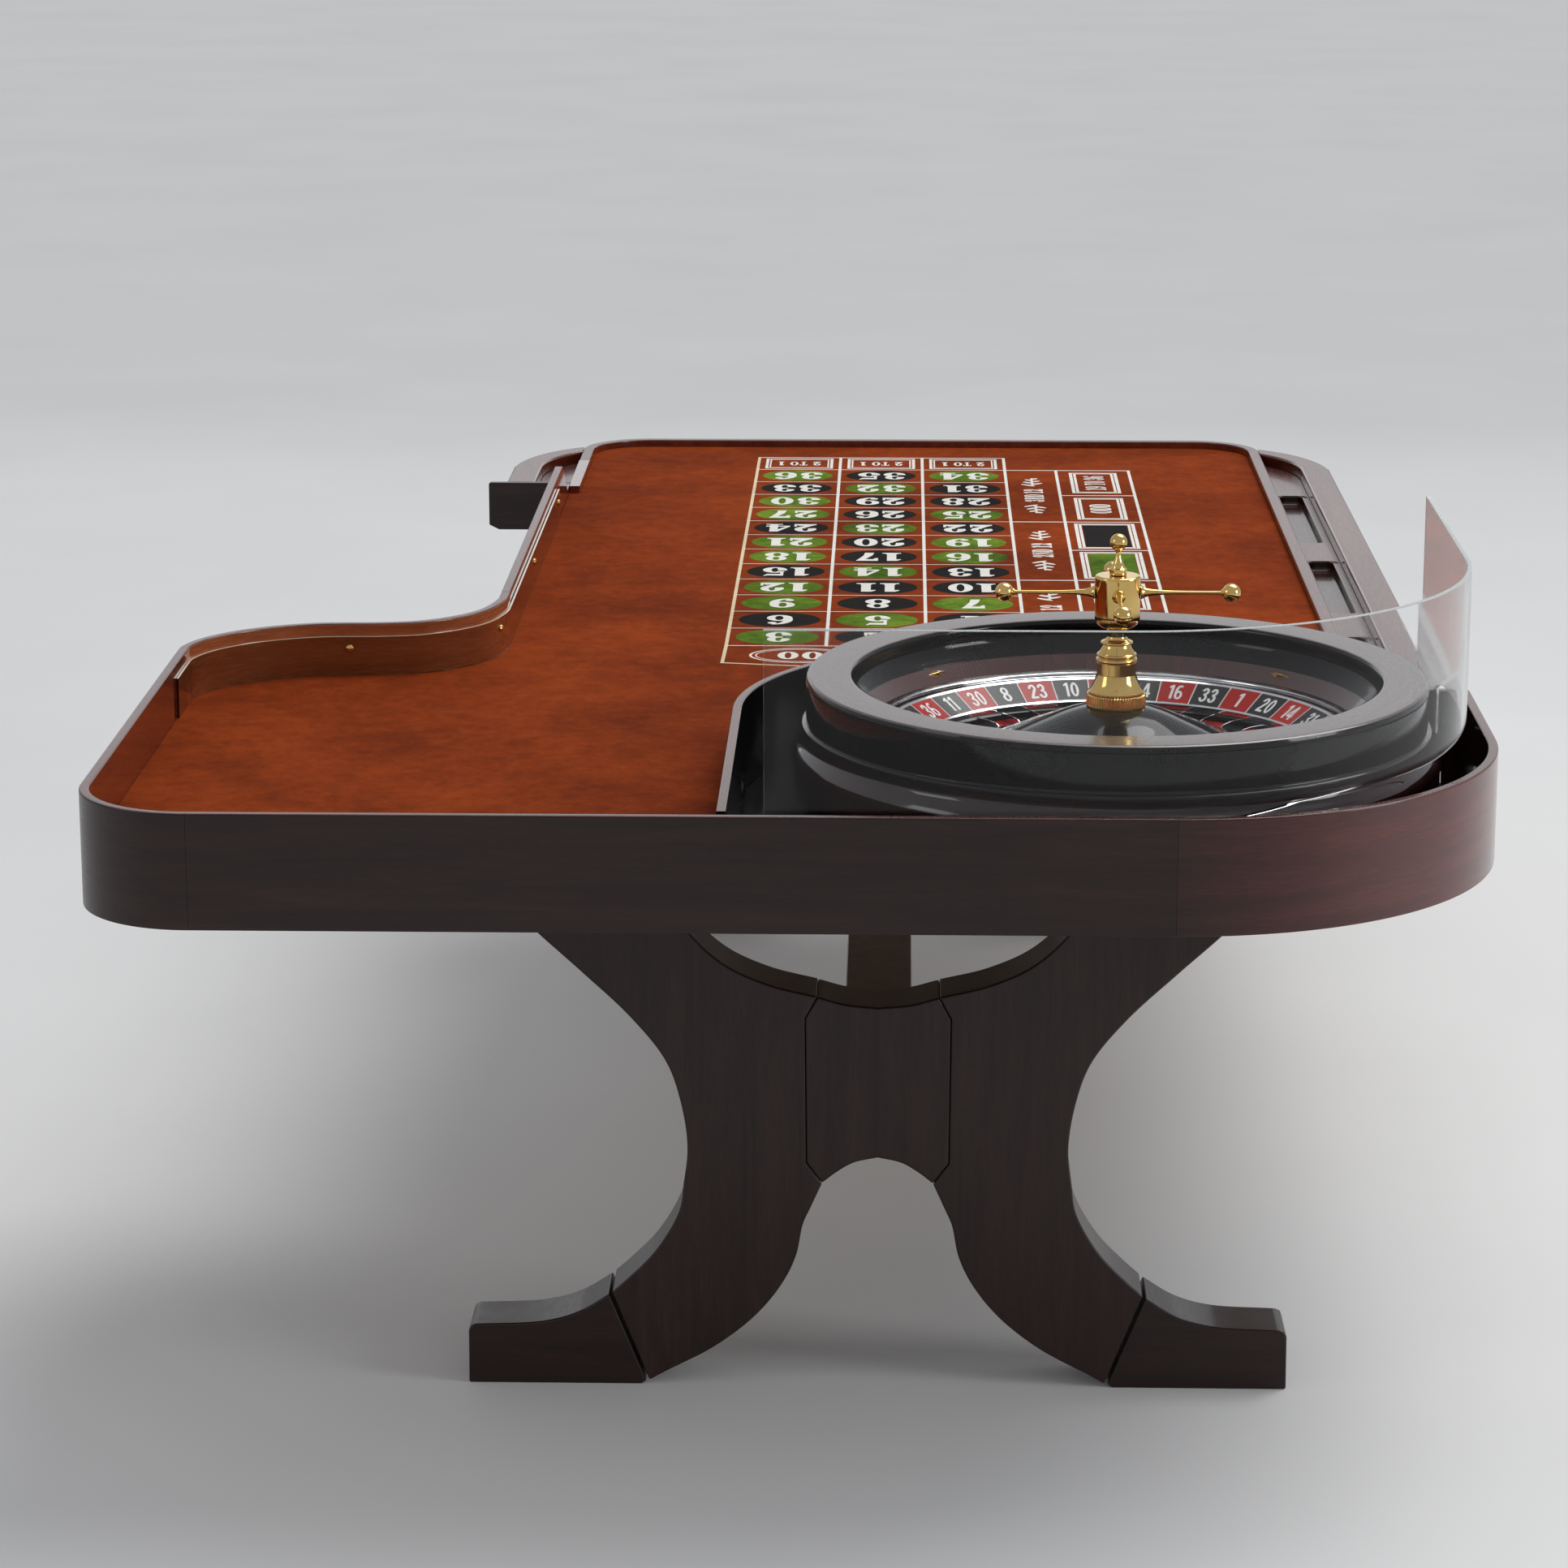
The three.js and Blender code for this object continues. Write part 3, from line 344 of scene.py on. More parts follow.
# a lighter, warmer copy of the inner-face mahogany for the S-curve board: painted warm reflection and glow
M["red_s"] = wood("mahogany_painted_warm_glow", (0.17, 0.043, 0.015), (0.34, 0.098, 0.035), (0.48, 0.165, 0.065), "XY", 0.24, 0.8, 0.05, 1.0, 0.3)
M["rim"] = wood("mahogany_rim", (0.050, 0.014, 0.010), (0.092, 0.031, 0.023), (0.14, 0.053, 0.041), "Y", 0.27, 0.42, 0.12, 1.0, 0.22)
M["well"] = wood("well_red", (0.012, 0.003, 0.003), (0.032, 0.008, 0.006), (0.055, 0.015, 0.011), "Y", 0.20, 0.35, 0.06, 1.0, 0.15)
M["slope"] = wood("mahogany_slope", (0.028, 0.004, 0.003), (0.062, 0.009, 0.006), (0.11, 0.02, 0.012), "Z", 0.16, 1.0, 0.03)
M["ply"] = wood("ply_board", (0.20, 0.12, 0.06), (0.33, 0.21, 0.115), (0.45, 0.31, 0.18), "Y", 0.6, 0.0, 0.3)
M["black"] = lacquer("black_lacquer", (0.006, 0.006, 0.0065), (0.012, 0.0115, 0.0115), 0.08, 0.36, 0.10)
M["bowl"] = lacquer("bowl_lacquer", (0.010, 0.005, 0.005), (0.030, 0.009, 0.008), 0.09, 0.8, 0.25)
M["brass"] = metal("polished_brass", (0.86, 0.60, 0.22), (0.72, 0.47, 0.15), 0.09)
M["brass_knurl"] = metal("knurled_brass", (0.70, 0.50, 0.20), (0.50, 0.33, 0.12), 0.2)
M["silver"] = metal("polished_nickel", (0.80, 0.80, 0.81), (0.66, 0.66, 0.68), 0.10)
M["steel"] = metal("turned_steel", (0.55, 0.56, 0.58), (0.42, 0.43, 0.45), 0.28)
M["cloth"] = cloth_mat("gaming_cloth", [(0.30, (0.104, 0.0157, 0.0034)), (0.45, (0.193, 0.0296, 0.0048)), (0.58, (0.290, 0.0470, 0.0070)), (0.75, (0.372, 0.067, 0.0105))])
M["print_white"] = cloth_mat("print_white", [(0.3, (0.62, 0.60, 0.54)), (0.7, (0.84, 0.83, 0.79))], 0.35, 0.85)
M["print_cream"] = cloth_mat("print_cream", [(0.3, (0.55, 0.43, 0.24)), (0.7, (0.80, 0.70, 0.50))], 0.35, 0.85)
M["print_green"] = cloth_mat("print_green", [(0.36, (0.035, 0.080, 0.007)), (0.5, (0.100, 0.19, 0.013)), (0.62, (0.20, 0.32, 0.030))], 1.3, 0.85)
M["print_black"] = cloth_mat("print_black", [(0.3, (0.006, 0.006, 0.006)), (0.7, (0.02, 0.019, 0.018))], 0.6, 0.85)
M["ring_red"] = lacquer("number_red", (0.42, 0.018, 0.010), (0.34, 0.013, 0.008), 0.14, 0.14, 0.12)
M["ring_black"] = lacquer("number_black", (0.022, 0.022, 0.023), (0.032, 0.031, 0.031), 0.14, 0.14, 0.12)
M["ring_green"] = lacquer("number_green", (0.02, 0.20, 0.035), (0.016, 0.15, 0.03), 0.14, 0.14, 0.12)
M["ring_white"] = lacquer("number_white", (0.80, 0.80, 0.79), (0.70, 0.70, 0.69), 0.25, 0.2, 0.2)

def clear_mat(name, tint, rough=0.015, ior=1.22):
    m, nt, b = new_mat(name)
    b.inputs["Base Color"].default_value = (*tint, 1)
    b.inputs["Transmission Weight"].default_value = 1.0
    b.inputs["IOR"].default_value = ior
    n = noise(nt, coords(nt, (1, 1, 1)), 30, 4, 0.6)
    nt.links.new(maprange(nt, n, 0.45, 0.75, rough, rough + 0.05), b.inputs["Roughness"])
    return m
M["clear"] = clear_mat("clear_acrylic", (0.975, 0.985, 0.985))
def edge_mat(name, col):
    m, nt, b = new_mat(name)
    n = noise(nt, coords(nt, (1, 1, 1)), 160, 4, 0.6)
    nt.links.new(mixc(nt, maprange(nt, n, 0.35, 0.7, 0, 1), col, tuple(k * 0.86 for k in col)), b.inputs["Base Color"])
    nt.links.new(maprange(nt, n, 0.3, 0.7, 0.22, 0.4), b.inputs["Roughness"])
    b.inputs["Transmission Weight"].default_value = 0.45
    b.inputs["IOR"].default_value = 1.35
    return m
M["clear_edge"] = edge_mat("acrylic_edge", (0.80, 0.84, 0.84))
# the clear liner is tinted warm: painted warm reflection, the acrylic itself being clear
M["liner"] = clear_mat("liner_acrylic", (0.98, 0.93, 0.84), 0.03, 1.49)

# ------------------------------------------------------------ mesh helpers
def make(name, verts, faces, mats, fmat=None, nodes=(), body="table", smooth_angle=32, keep=False):
    me = bpy.data.meshes.new(name)
    me.from_pydata([P(*v) for v in verts], [], faces)
    bm = bmesh.new(); bm.from_mesh(me)
    if fmat is not None:
        bm.faces.ensure_lookup_table()
        for f, k in zip(bm.faces, fmat):
            f.material_index = k
    bmesh.ops.remove_doubles(bm, verts=bm.verts, dist=2e-6)
    bmesh.ops.dissolve_degenerate(bm, edges=bm.edges, dist=1e-6)
    if not keep:
        bmesh.ops.recalc_face_normals(bm, faces=bm.faces)
    bm.to_mesh(me); bm.free()
    ob = bpy.data.objects.new(name, me)
    bpy.context.scene.collection.objects.link(ob)
    for k in (mats if isinstance(mats, (list, tuple)) else [mats]):
        me.materials.append(M[k])
    if smooth_angle:
        shade(ob, smooth_angle)
    if body:
        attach(ob, body)
    if nodes:
        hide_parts(*([nodes] if isinstance(nodes, str) else nodes))
    return ob

def shade(ob, angle):
    me = ob.data
    me.polygons.foreach_set("use_smooth", [True] * len(me.polygons))
    bm = bmesh.new(); bm.from_mesh(me)
    lim = math.radians(angle)
    for e in bm.edges:
        e.smooth = not (len(e.link_faces) == 2 and e.calc_face_angle(0) > lim)
    bm.to_mesh(me); bm.free()

def bevel(ob, width, segs=3, angle=40):
    m = ob.modifiers.new("edge_round", "BEVEL")
    m.width = width / 1000; m.segments = segs; m.limit_method = "ANGLE"; m.angle_limit = math.radians(angle)
    m.harden_normals = False
    ob.modifiers.new("normals", "WEIGHTED_NORMAL").keep_sharp = True
    return ob

def rim_profile(t, z0, z1, r=2.2, rb=1.2, n=4):
    """cross-section of an upright board: (distance left of the path, height)"""
    pts = [(0, z0), (0, z1), (t, z1), (t, z0)]
    return fillet(pts, [rb, r, r, rb], n)

def sweep(name, path, prof, mats, nodes=(), body="table", zfun=None, fmat=None, closed=False):
    """carries a closed cross-section along an open plan path"""
    offs = {}
    verts, faces, fm = [], [], []
    for d, z in prof:
        if d not in offs:
            offs[d] = offset(path, d)
    n, k = len(path), len(prof)
    for i in range(n):
        for j, (d, z) in enumerate(prof):
            x, y = offs[d][i]
            verts.append((x, y, z if zfun is None else zfun(x, y, d, z)))
    for i in range(n - 1):
        for j in range(k):
            faces.append((i * k + j, i * k + (j + 1) % k, (i + 1) * k + (j + 1) % k, (i + 1) * k + j))
            fm.append(fmat(j, path[i]) if fmat else 0)
    faces.append(tuple(range(k))[::-1]); fm.append(0)
    faces.append(tuple((n - 1) * k + j for j in range(k))); fm.append(0)
    return make(name, verts, faces, mats, fm if fmat else None, nodes, body)

def lathe(name, prof, segs, mats, nodes=(), body="table", fmat=None, cx=WX, cy=WY, smooth_angle=32):
    """turned solid; prof is a closed (radius, height) outline"""
    verts, faces, fm = [], [], []
    k = len(prof)
    rings = []
    for r, z in prof:
        if r < 1e-6:
            rings.append([len(verts)]); verts.append((cx, cy, z))
        else:
            s = len(verts)
            for i in range(segs):
                a = 2 * math.pi * i / segs
                verts.append((cx + r * math.cos(a), cy + r * math.sin(a), z))
            rings.append(list(range(s, s + segs)))
    for j in range(k):
        A, B = rings[j], rings[(j + 1) % k]
        if len(A) == 1 and len(B) == 1:
            continue
        for i in range(segs):
            i2 = (i + 1) % segs
            if len(A) == 1: f = (A[0], B[i2], B[i])
            elif len(B) == 1: f = (A[i], A[i2], B[0])
            else: f = (A[i], A[i2], B[i2], B[i])
            faces.append(f); fm.append(fmat(j, i, prof[j], prof[(j + 1) % k]) if fmat else 0)
    return make(name, verts, faces, mats, fm if fmat else None, nodes, body, smooth_angle)

def plate(name, outline, a0, a1, mats, plane="XY", nodes=(), body="table", bev=1.5, segs=3):
    """prism over an outline; plane XZ runs from y=a0 to y=a1"""
    put = (lambda p, a: (p[0], p[1], a)) if plane == "XY" else (lambda p, a: (p[0], a, p[1]))
    n = len(outline)
    verts = [put(p, a0) for p in outline] + [put(p, a1) for p in outline]
    faces = [tuple(range(n))[::-1], tuple(range(n, 2 * n))] + [(i, (i + 1) % n, n + (i + 1) % n, n + i) for i in range(n)]
    ob = make(name, verts, faces, mats, None, nodes, body)
    if bev:
        bevel(ob, bev, segs)
    return ob

def stack(name, loops):
    """closed solid through equal plan loops at given heights, used as a cutter"""
    n = len(loops[0][0])
    verts = [(x, y, z) for pts, z in loops for x, y in pts]
    faces = [tuple(range(n))[::-1]]
    for a in range(len(loops) - 1):
        faces += [(a * n + i, a * n + (i + 1) % n, (a + 1) * n + (i + 1) % n, (a + 1) * n + i) for i in range(n)]
    faces.append(tuple((len(loops) - 1) * n + i for i in range(n)))
    return make(name, verts, faces, "rim", body=None, smooth_angle=0)

def cut(ob, *cutters):
    """subtracts the cutters and removes them"""
    for c in cutters:
        m = ob.modifiers.new("cut", "BOOLEAN")
        m.operation = "DIFFERENCE"; m.solver = "EXACT"; m.object = c
    dg = bpy.context.evaluated_depsgraph_get()
    me = bpy.data.meshes.new_from_object(ob.evaluated_get(dg))
    ob.modifiers.clear()
    old = ob.data; ob.data = me
    me.name = ob.name
    for c in cutters:
        bpy.data.objects.remove(c, do_unlink=True)
    shade(ob, 32)
    return ob

# radial-grain timber for turned faces: grain runs in (slope) or round (rim)
def wood_turned(name, dark, mid, light, radial=True, rough=0.16, coat_rough=0.04, coat=1.0):
    m, nt, b = new_mat(name)
    tc = nt.nodes.new("ShaderNodeTexCoord")
    sub = nt.nodes.new("ShaderNodeVectorMath"); sub.operation = "SUBTRACT"
    sub.inputs[1].default_value = (WX / 1000 + DX, WY / 1000 + DY, 0)
    nt.links.new(tc.outputs["Object"], sub.inputs[0])
    sp = nt.nodes.new("ShaderNodeSeparateXYZ"); nt.links.new(sub.outputs[0], sp.inputs[0])
    ang = math_n(nt, "ARCTAN2", sp.outputs["Y"], sp.outputs["X"])
    rad = math_n(nt, "SQRT", math_n(nt, "ADD", math_n(nt, "MULTIPLY", sp.outputs["X"], sp.outputs["X"]), math_n(nt, "MULTIPLY", sp.outputs["Y"], sp.outputs["Y"])))
    cb = nt.nodes.new("ShaderNodeCombineXYZ")
    ka, kr = (26.0, 3.0) if radial else (1.2, 60.0)
    nt.links.new(math_n(nt, "MULTIPLY", ang, ka), cb.inputs[0])
    nt.links.new(math_n(nt, "MULTIPLY", rad, kr), cb.inputs[1])
    nt.links.new(math_n(nt, "MULTIPLY", sp.outputs["Z"], 3.0), cb.inputs[2])
    g1 = noise(nt, cb.outputs[0], 1.5, 8, 0.65, 0.5)
    g2 = noise(nt, cb.outputs[0], 7.0, 5, 0.7, 0.2)
    f = math_n(nt, "ADD", math_n(nt, "MULTIPLY", g1, 0.6), math_n(nt, "MULTIPLY", g2, 0.4))
    nt.links.new(ramp(nt, f, [(0.3, dark), (0.5, mid), (0.7, light)]), b.inputs["Base Color"])
    nt.links.new(maprange(nt, g2, 0.2, 0.8, rough - 0.04, rough + 0.08), b.inputs["Roughness"])
    b.inputs["Coat Weight"].default_value = coat
    b.inputs["Coat Roughness"].default_value = coat_rough
    bump(nt, b, g2, 0.08, 0.0004)
    return m
M["slope"] = wood_turned("mahogany_slope", (0.020, 0.003, 0.002), (0.055, 0.008, 0.005), (0.11, 0.018, 0.011), True)
M["ring_top"] = wood_turned("bowl_ring_top", (0.026, 0.012, 0.010), (0.048, 0.022, 0.018), (0.078, 0.034, 0.027), False, 0.26, 0.12, 0.45)

# ----------------------------------------------------------- apron boards
def three(j):
    return 0 if (j <= 6 or j >= 16) else (1 if j <= 12 else 2)

AX, AY = ["apron", "rim", "red"], ["apron_y", "rim", "red"]
nearRun = [(BULGE_X - bulgeR - 2 - GAP, NEAR_Y), (LEFT_X + CORNER_R + 2 + GAP, NEAR_Y)]
def board(node_name, path, t, mats, sign=1, slot="dark_wood", **k):
    prof = [(sign * d, z) for d, z in rim_profile(t, k.get("z0", APRON_BOTTOM), k.get("z1", RIM_TOP), k.get("r", 2.4))]
    return sweep(node_name + "_lacquered", path, prof, mats, nodes=node_name, fmat=lambda j, p: three(j))

near = board("near_apron", spaced(nearRun, 24), APRON_T, AX, -1)
board("left_apron", leftRun[:-1] + [(LEFT_X, -3.3 * U - GAP)], APRON_T, AY, -1)
# its inner face takes the lighter warm copy of the mahogany: painted reflection
board("s_curve_apron", sRun, APRON_T, ["apron_y", "rim", "red_s"], -1, "red_brown_wood")
board("far_right_corner_rail", farRight, RAIL_T, AY, 1, "red_brown_wood", z1=LOW_TOP)
board("far_left_corner_rail", farLeft, RAIL_T, AY, 1, "red_brown_wood", z1=LOW_TOP)
board("far_apron", [(FAR_JOINT_X - GAP, FAR_Y), (2 * MIRROR_X - FAR_JOINT_X + GAP, FAR_Y)], RAIL_T, AX, 1, "red_brown_wood", z1=LOW_TOP)
rc = 14.0
bulgePath = bulgeRun[:-1] + arc(BULGE_X - rc, -4.75 * U - rc, rc, 0, 90, 10) + [(7.935 * U, -4.75 * U)]
# its outer face carries the painted light on its right end
board("wheel_end_apron", bulgePath, APRON_T, ["apron_r", "rim", "well"], 1, "red_brown_wood")

# board round the wheel well, its free end squared off and painted black
prof = rim_profile(WALL_T, WELL_FLOOR_BOTTOM, RIM_TOP, 2.0)
sweep("wheel_well_wall_lacquered", wellWall, prof, ["black", "rim", "red"], nodes="wheel_well_wall", fmat=lambda j, p: three(j))

# trimming solid for whatever meets the well
def trim():
    pts = [(wellClear[0][0], NEAR_Y)] + wellClear + [(8.05 * U, wellClear[-1][1]), (8.05 * U, -5 * U), (8.05 * U, NEAR_Y)]
    return stack("trim", [(pts, -120), (pts, 120)])

ob = board("right_inner_rail", [(RAIL_OUT_X, -4 * U), (RAIL_OUT_X, CORNER_START_Y - GAP)], RAIL_T, ["rim", "rim", "red"], 1, "red_brown_wood", z1=LOW_TOP)
cut(ob, trim())

# recess wall: straight, far end cut to a slope with a rounded tip
tip = [(0.2 * U + GAP, APRON_BOTTOM), (WALL_TIP_Y, APRON_BOTTOM), (WALL_TIP_Y, LOW_TOP), (9.72 * U, LOW_TOP), (8.84 * U, RIM_TOP), (0.2 * U + GAP, RIM_TOP)]
tip = fillet(tip, [0, 0, 2, 6, 40, 0], 10)
n = len(tip)
verts = [(RECESS_X, y, z) for y, z in tip] + [(RECESS_X + WALL_T, y, z) for y, z in tip]
faces = [tuple(range(n))[::-1], tuple(range(n, 2 * n))] + [(i, (i + 1) % n, n + (i + 1) % n, n + i) for i in range(n)]
fm = [0, 2] + [1 if (tip[i][1] > 11 and tip[(i + 1) % n][1] > 11) else 0 for i in range(n)]
ob = make("recess_wall_lacquered", verts, faces, ["apron_y", "rim", "red"], fm, "recess_wall", "table")
bevel(ob, 2.2, 4, 50)

LRI, LRO, stepY = 2 * MIRROR_X - RAIL_IN_X, 2 * MIRROR_X - RAIL_OUT_X, 10.0415 * U
ob = plate("left_inner_rail_lacquered", fillet([
    (RECESS_X + WALL_T + GAP, stepY), (LRI, stepY), (LRI, CORNER_START_Y - GAP), (LRO, CORNER_START_Y - GAP),
    (LRO, WALL_TIP_Y + GAP), (RECESS_X + WALL_T + GAP, WALL_TIP_Y + GAP)], [0, 3, 0, 0, 3, 0], 5), APRON_BOTTOM, LOW_TOP, ["red"],
    nodes="left_inner_rail", bev=2.2, segs=4)

# ------------------------------------------------------ liner and its studs
LINER_END_Y, LINER_T = 7.85 * U, 3
linerPath = [(LEFT_X + APRON_T + GAP, -3.95 * U), (LEFT_X + APRON_T + GAP, -3.4 * U)] + offset(sRun, -(APRON_T + GAP))[1:-1] + \
    [(RECESS_X + APRON_T + GAP, 0.3 * U), (RECESS_X + APRON_T + GAP, LINER_END_Y)]
prof = [(-d, z) for d, z in fillet([(0, 0.35), (0, 54.6), (3, 54.6), (3, 0.35)], 0.5, 2)]
k = len(prof)
# the liner's top edge is an opaque pale cream: a painted highlight where the clear edge catches the light
M["edge"] = lacquer("liner_edge_painted_highlight", (0.62, 0.52, 0.38), (0.75, 0.64, 0.48), 0.12)
sweep("wall_liner_panel", linerPath, prof, ["liner", "edge"], nodes="wall_liner",
      fmat=lambda j, p: 1 if prof[j][1] > 53.9 and prof[(j + 1) % k][1] > 53.9 else 0)

def dome(name, at, normal, r=5.7, mats="brass", body="table"):
    """low brass dome on a thin collar"""
    prof = [(0, 0), (r, 0), (r, 0.7), (r * 0.93, 1.2), (r * 0.8, 1.9), (r * 0.55, 2.6), (r * 0.28, 3.0), (0, 3.1)]
    prof = [prof[0]] + fillet(prof[1:], 0.4, 2, closed=False)
    nz = Vector(normal).normalized()
    q = Vector((0, 0, 1)).rotation_difference(nz)
    verts, faces, segs = [], [], 40
    rings = []
    for rr, z in prof:
        if rr < 1e-6:
            rings.append([len(verts)]); verts.append(Vector(at) + q @ Vector((0, 0, z)))
        else:
            s = len(verts)
            for i in range(segs):
                a = 2 * math.pi * i / segs
                verts.append(Vector(at) + q @ Vector((rr * math.cos(a), rr * math.sin(a), z)))
            rings.append(list(range(s, s + segs)))
    for A, B in zip(rings, rings[1:]):
        for i in range(segs):
            i2 = (i + 1) % segs
            if len(A) == 1: faces.append((A[0], B[i2], B[i]))
            elif len(B) == 1: faces.append((A[i], A[i2], B[0]))
            else: faces.append((A[i], A[i2], B[i2], B[i]))
    return make(name, [tuple(v) for v in verts], faces, mats, body=body)

# studs sit on the table side of the liner, at one height
linerFace = offset(linerPath, -LINER_T)
for k, (sx, sy) in enumerate([(-4.264, -1.70), (-2.62, -0.55), (-2.5575, 3.5), (-2.5575, 7.62)]):
    i = min(range(1, len(linerFace) - 1), key=lambda i: abs(linerFace[i][0] / U - sx) + abs(linerFace[i][1] / U - sy)) if k < 2 else None
    if k < 2:
        (x0, y0), (x1, y1), (x2, y2) = linerFace[i - 1], linerFace[i], linerFace[i + 1]
        nx, ny = (y2 - y0), -(x2 - x0)
        at = (x1, y1, 37.0)
    else:
        nx, ny, at = 1.0, 0.0, (linerFace[-1][0], sy * U, 37.0)
    dome(f"liner_stud_{k + 1}", at, (nx, ny, 0))

# -------------------------------------------------------------- side trays
TB_T = 12
CURVE_CX, CURVE_CY, CURVE_END_X = 6.5422 * U, 11.4221 * U, RAIL_OUT_X + 2 * GAP
def railCurve(xOut, b, n):
    a = xOut - CURVE_CX
    return [(CURVE_CX + a * math.cos(t), CURVE_CY + b * math.sin(t)) for t in
            (math.acos((CURVE_END_X - CURVE_CX) / a) * i / n for i in range(n + 1))]
outerCurve = railCurve(ARMREST_OUT_X, 2.1233 * U, 60)
boardCurve = railCurve(TRAY_OUT_X, 2.071 * U, 60)
boardInner = railCurve(TRAY_OUT_X - TB_T, 1.9664 * U, 60)
trayCurve = railCurve(TRAY_OUT_X - TB_T - GAP, 1.9664 * U - GAP, 60)
def quad(a, b, c, n):
    return [tuple(p * (1 - t) ** 2 + 2 * q * t * (1 - t) + r * t * t for p, q, r in zip(a, b, c)) for t in (i / n for i in range(n + 1))]
innerCurve = quad((ARMREST_IN_X, ARM_SEAM_Y), (ARMREST_IN_X, 12.3635 * U), (CURVE_END_X, 12.9074 * U), 60)

def rrect(x0, x1, y0, y1, r, n=8):
    return arc(x1 - r, y1 - r, r, 0, 90, n) + arc(x0 + r, y1 - r, r, 90, 180, n) + arc(x0 + r, y0 + r, r, 180, 270, n) + arc(x1 - r, y0 + r, r, 270, 360, n)
def well_cutter(x0, x1, y0, y1, top, depth, r, rb, flare, mat_index):
    loops, nb = [], 6
    def L(i, z):
        loops.append((rrect(x0 + i, x1 - i, y0 + i, y1 - i, max(1.0, r - i)), z))
    for q in range(nb + 1):
        a = math.pi / 2 * q / nb
        L(rb * (1 - math.sin(a)), top - depth + rb * (1 - math.cos(a)))
    for q in range(5):
        a = math.pi / 2 * q / 4
        L(-flare * (1 - math.cos(a)), top - flare + flare * math.sin(a))
    L(-flare, top + 4)
    ob = stack("cutter", loops)
    for p in ob.data.polygons:
        p.material_index = mat_index
    return ob

wellSpans = [(6.987, 10.397), (2.406, 5.669), (-1.81, 0.942)]
trayOutline = [(RAIL_OUT_X + GAP, -4.73 * U), (TRAY_OUT_X - TB_T - GAP, -4.73 * U)] + trayCurve + [(RAIL_OUT_X + GAP, trayCurve[-1][1] - 0.5)]
def trayslab(name, outline, cutters, nodes):
    n = len(outline)
    verts = [(x, y, TRAY_BOTTOM) for x, y in outline] + [(x, y, TRAY_TOP) for x, y in outline]
    faces = [tuple(range(n))[::-1], tuple(range(n, 2 * n))] + [(i, (i + 1) % n, n + (i + 1) % n, n + i) for i in range(n)]
    ob = make(name, verts, faces, ["rim", "well"], None, nodes, "table")
    if cutters:
        cut(ob, *cutters)
    return ob
cutters = [trim()]
for a, b in wellSpans:
    cutters.append(well_cutter(RAIL_OUT_X + 4, 7.787 * U, (a - 0.1) * U, b * U, TRAY_TOP, 1.5, 12, 1.4, 0.3, 0))
for a, b in wellSpans:
    cutters.append(well_cutter(7.4 * U, 7.7168 * U, a * U, b * U, TRAY_TOP - 1.5, 14.5, 10, 7, 0.9, 1))
tray = trayslab("right_tray_lacquered", trayOutline, cutters, "right_tray")

bo = [(TRAY_OUT_X, -4.73 * U)] + boardCurve + boardInner[::-1] + [(TRAY_OUT_X - TB_T, -4.73 * U)]
# the outer face carries the painted light on its right end
ob = plate("right_tray_board_lacquered", bo, APRON_BOTTOM, TRAY_TOP, ["apron_r"], nodes="right_tray_board", bev=0)
cut(ob, trim()); bevel(ob, 1.5, 3)

def band(name, outer, inner, z0, z1, rt, rb, mats, nodes, fmat=None, cutters=()):
    """rail of changing width between two plan lines, with rounded edges"""
    n, verts, faces, fm = len(outer), [], [], []
    kk = None
    for (ox, oy), (ix, iy) in zip(outer, inner):
        w = math.hypot(ix - ox, iy - oy)
        prof = fillet([(0, z0), (0, z1), (w, z1), (w, z0)], [rb, rt, rt, rb], 5)
        kk = len(prof)
        verts += [(ox + (ix - ox) * d / w, oy + (iy - oy) * d / w, z) for d, z in prof]
    for i in range(n - 1):
        for j in range(kk):
            faces.append((i * kk + j, i * kk + (j + 1) % kk, (i + 1) * kk + (j + 1) % kk, (i + 1) * kk + j))
            fm.append(fmat(j) if fmat else 0)
    faces += [tuple(range(kk))[::-1], tuple((n - 1) * kk + j for j in range(kk))]; fm += [0, 0]
    ob = make(name, verts, faces, mats, fm, nodes, "table")
    if cutters:
        cut(ob, *cutters)
    return ob
lip = lambda j: 1 if j >= 13 and j <= 17 else 0
band("right_armrest_lacquered", spaced([(ARMREST_OUT_X, -4.73 * U), (ARMREST_OUT_X, ARM_SEAM_Y - GAP)], 40), spaced([(ARMREST_IN_X, -4.73 * U), (ARMREST_IN_X, ARM_SEAM_Y - GAP)], 40),
     TRAY_TOP + GAP, LOW_TOP, 5.5, 2, ["rim", "red"], "right_armrest", lip, (trim(),))
x0 = CURVE_CX + (ARMREST_OUT_X - CURVE_CX) * math.sqrt(1 - ((ARM_SEAM_Y - CURVE_CY) / (2.1233 * U)) ** 2)
endOuter = spaced([(x0, ARM_SEAM_Y)] + [p for p in outerCurve if p[1] > ARM_SEAM_Y + 2.4], 60)
endInner = spaced(innerCurve, 60)
band("right_armrest_end_lacquered", endOuter, endInner, TRAY_TOP + GAP, LOW_TOP, 5.5, 2, ["rim", "red"], "right_armrest_end", lip)

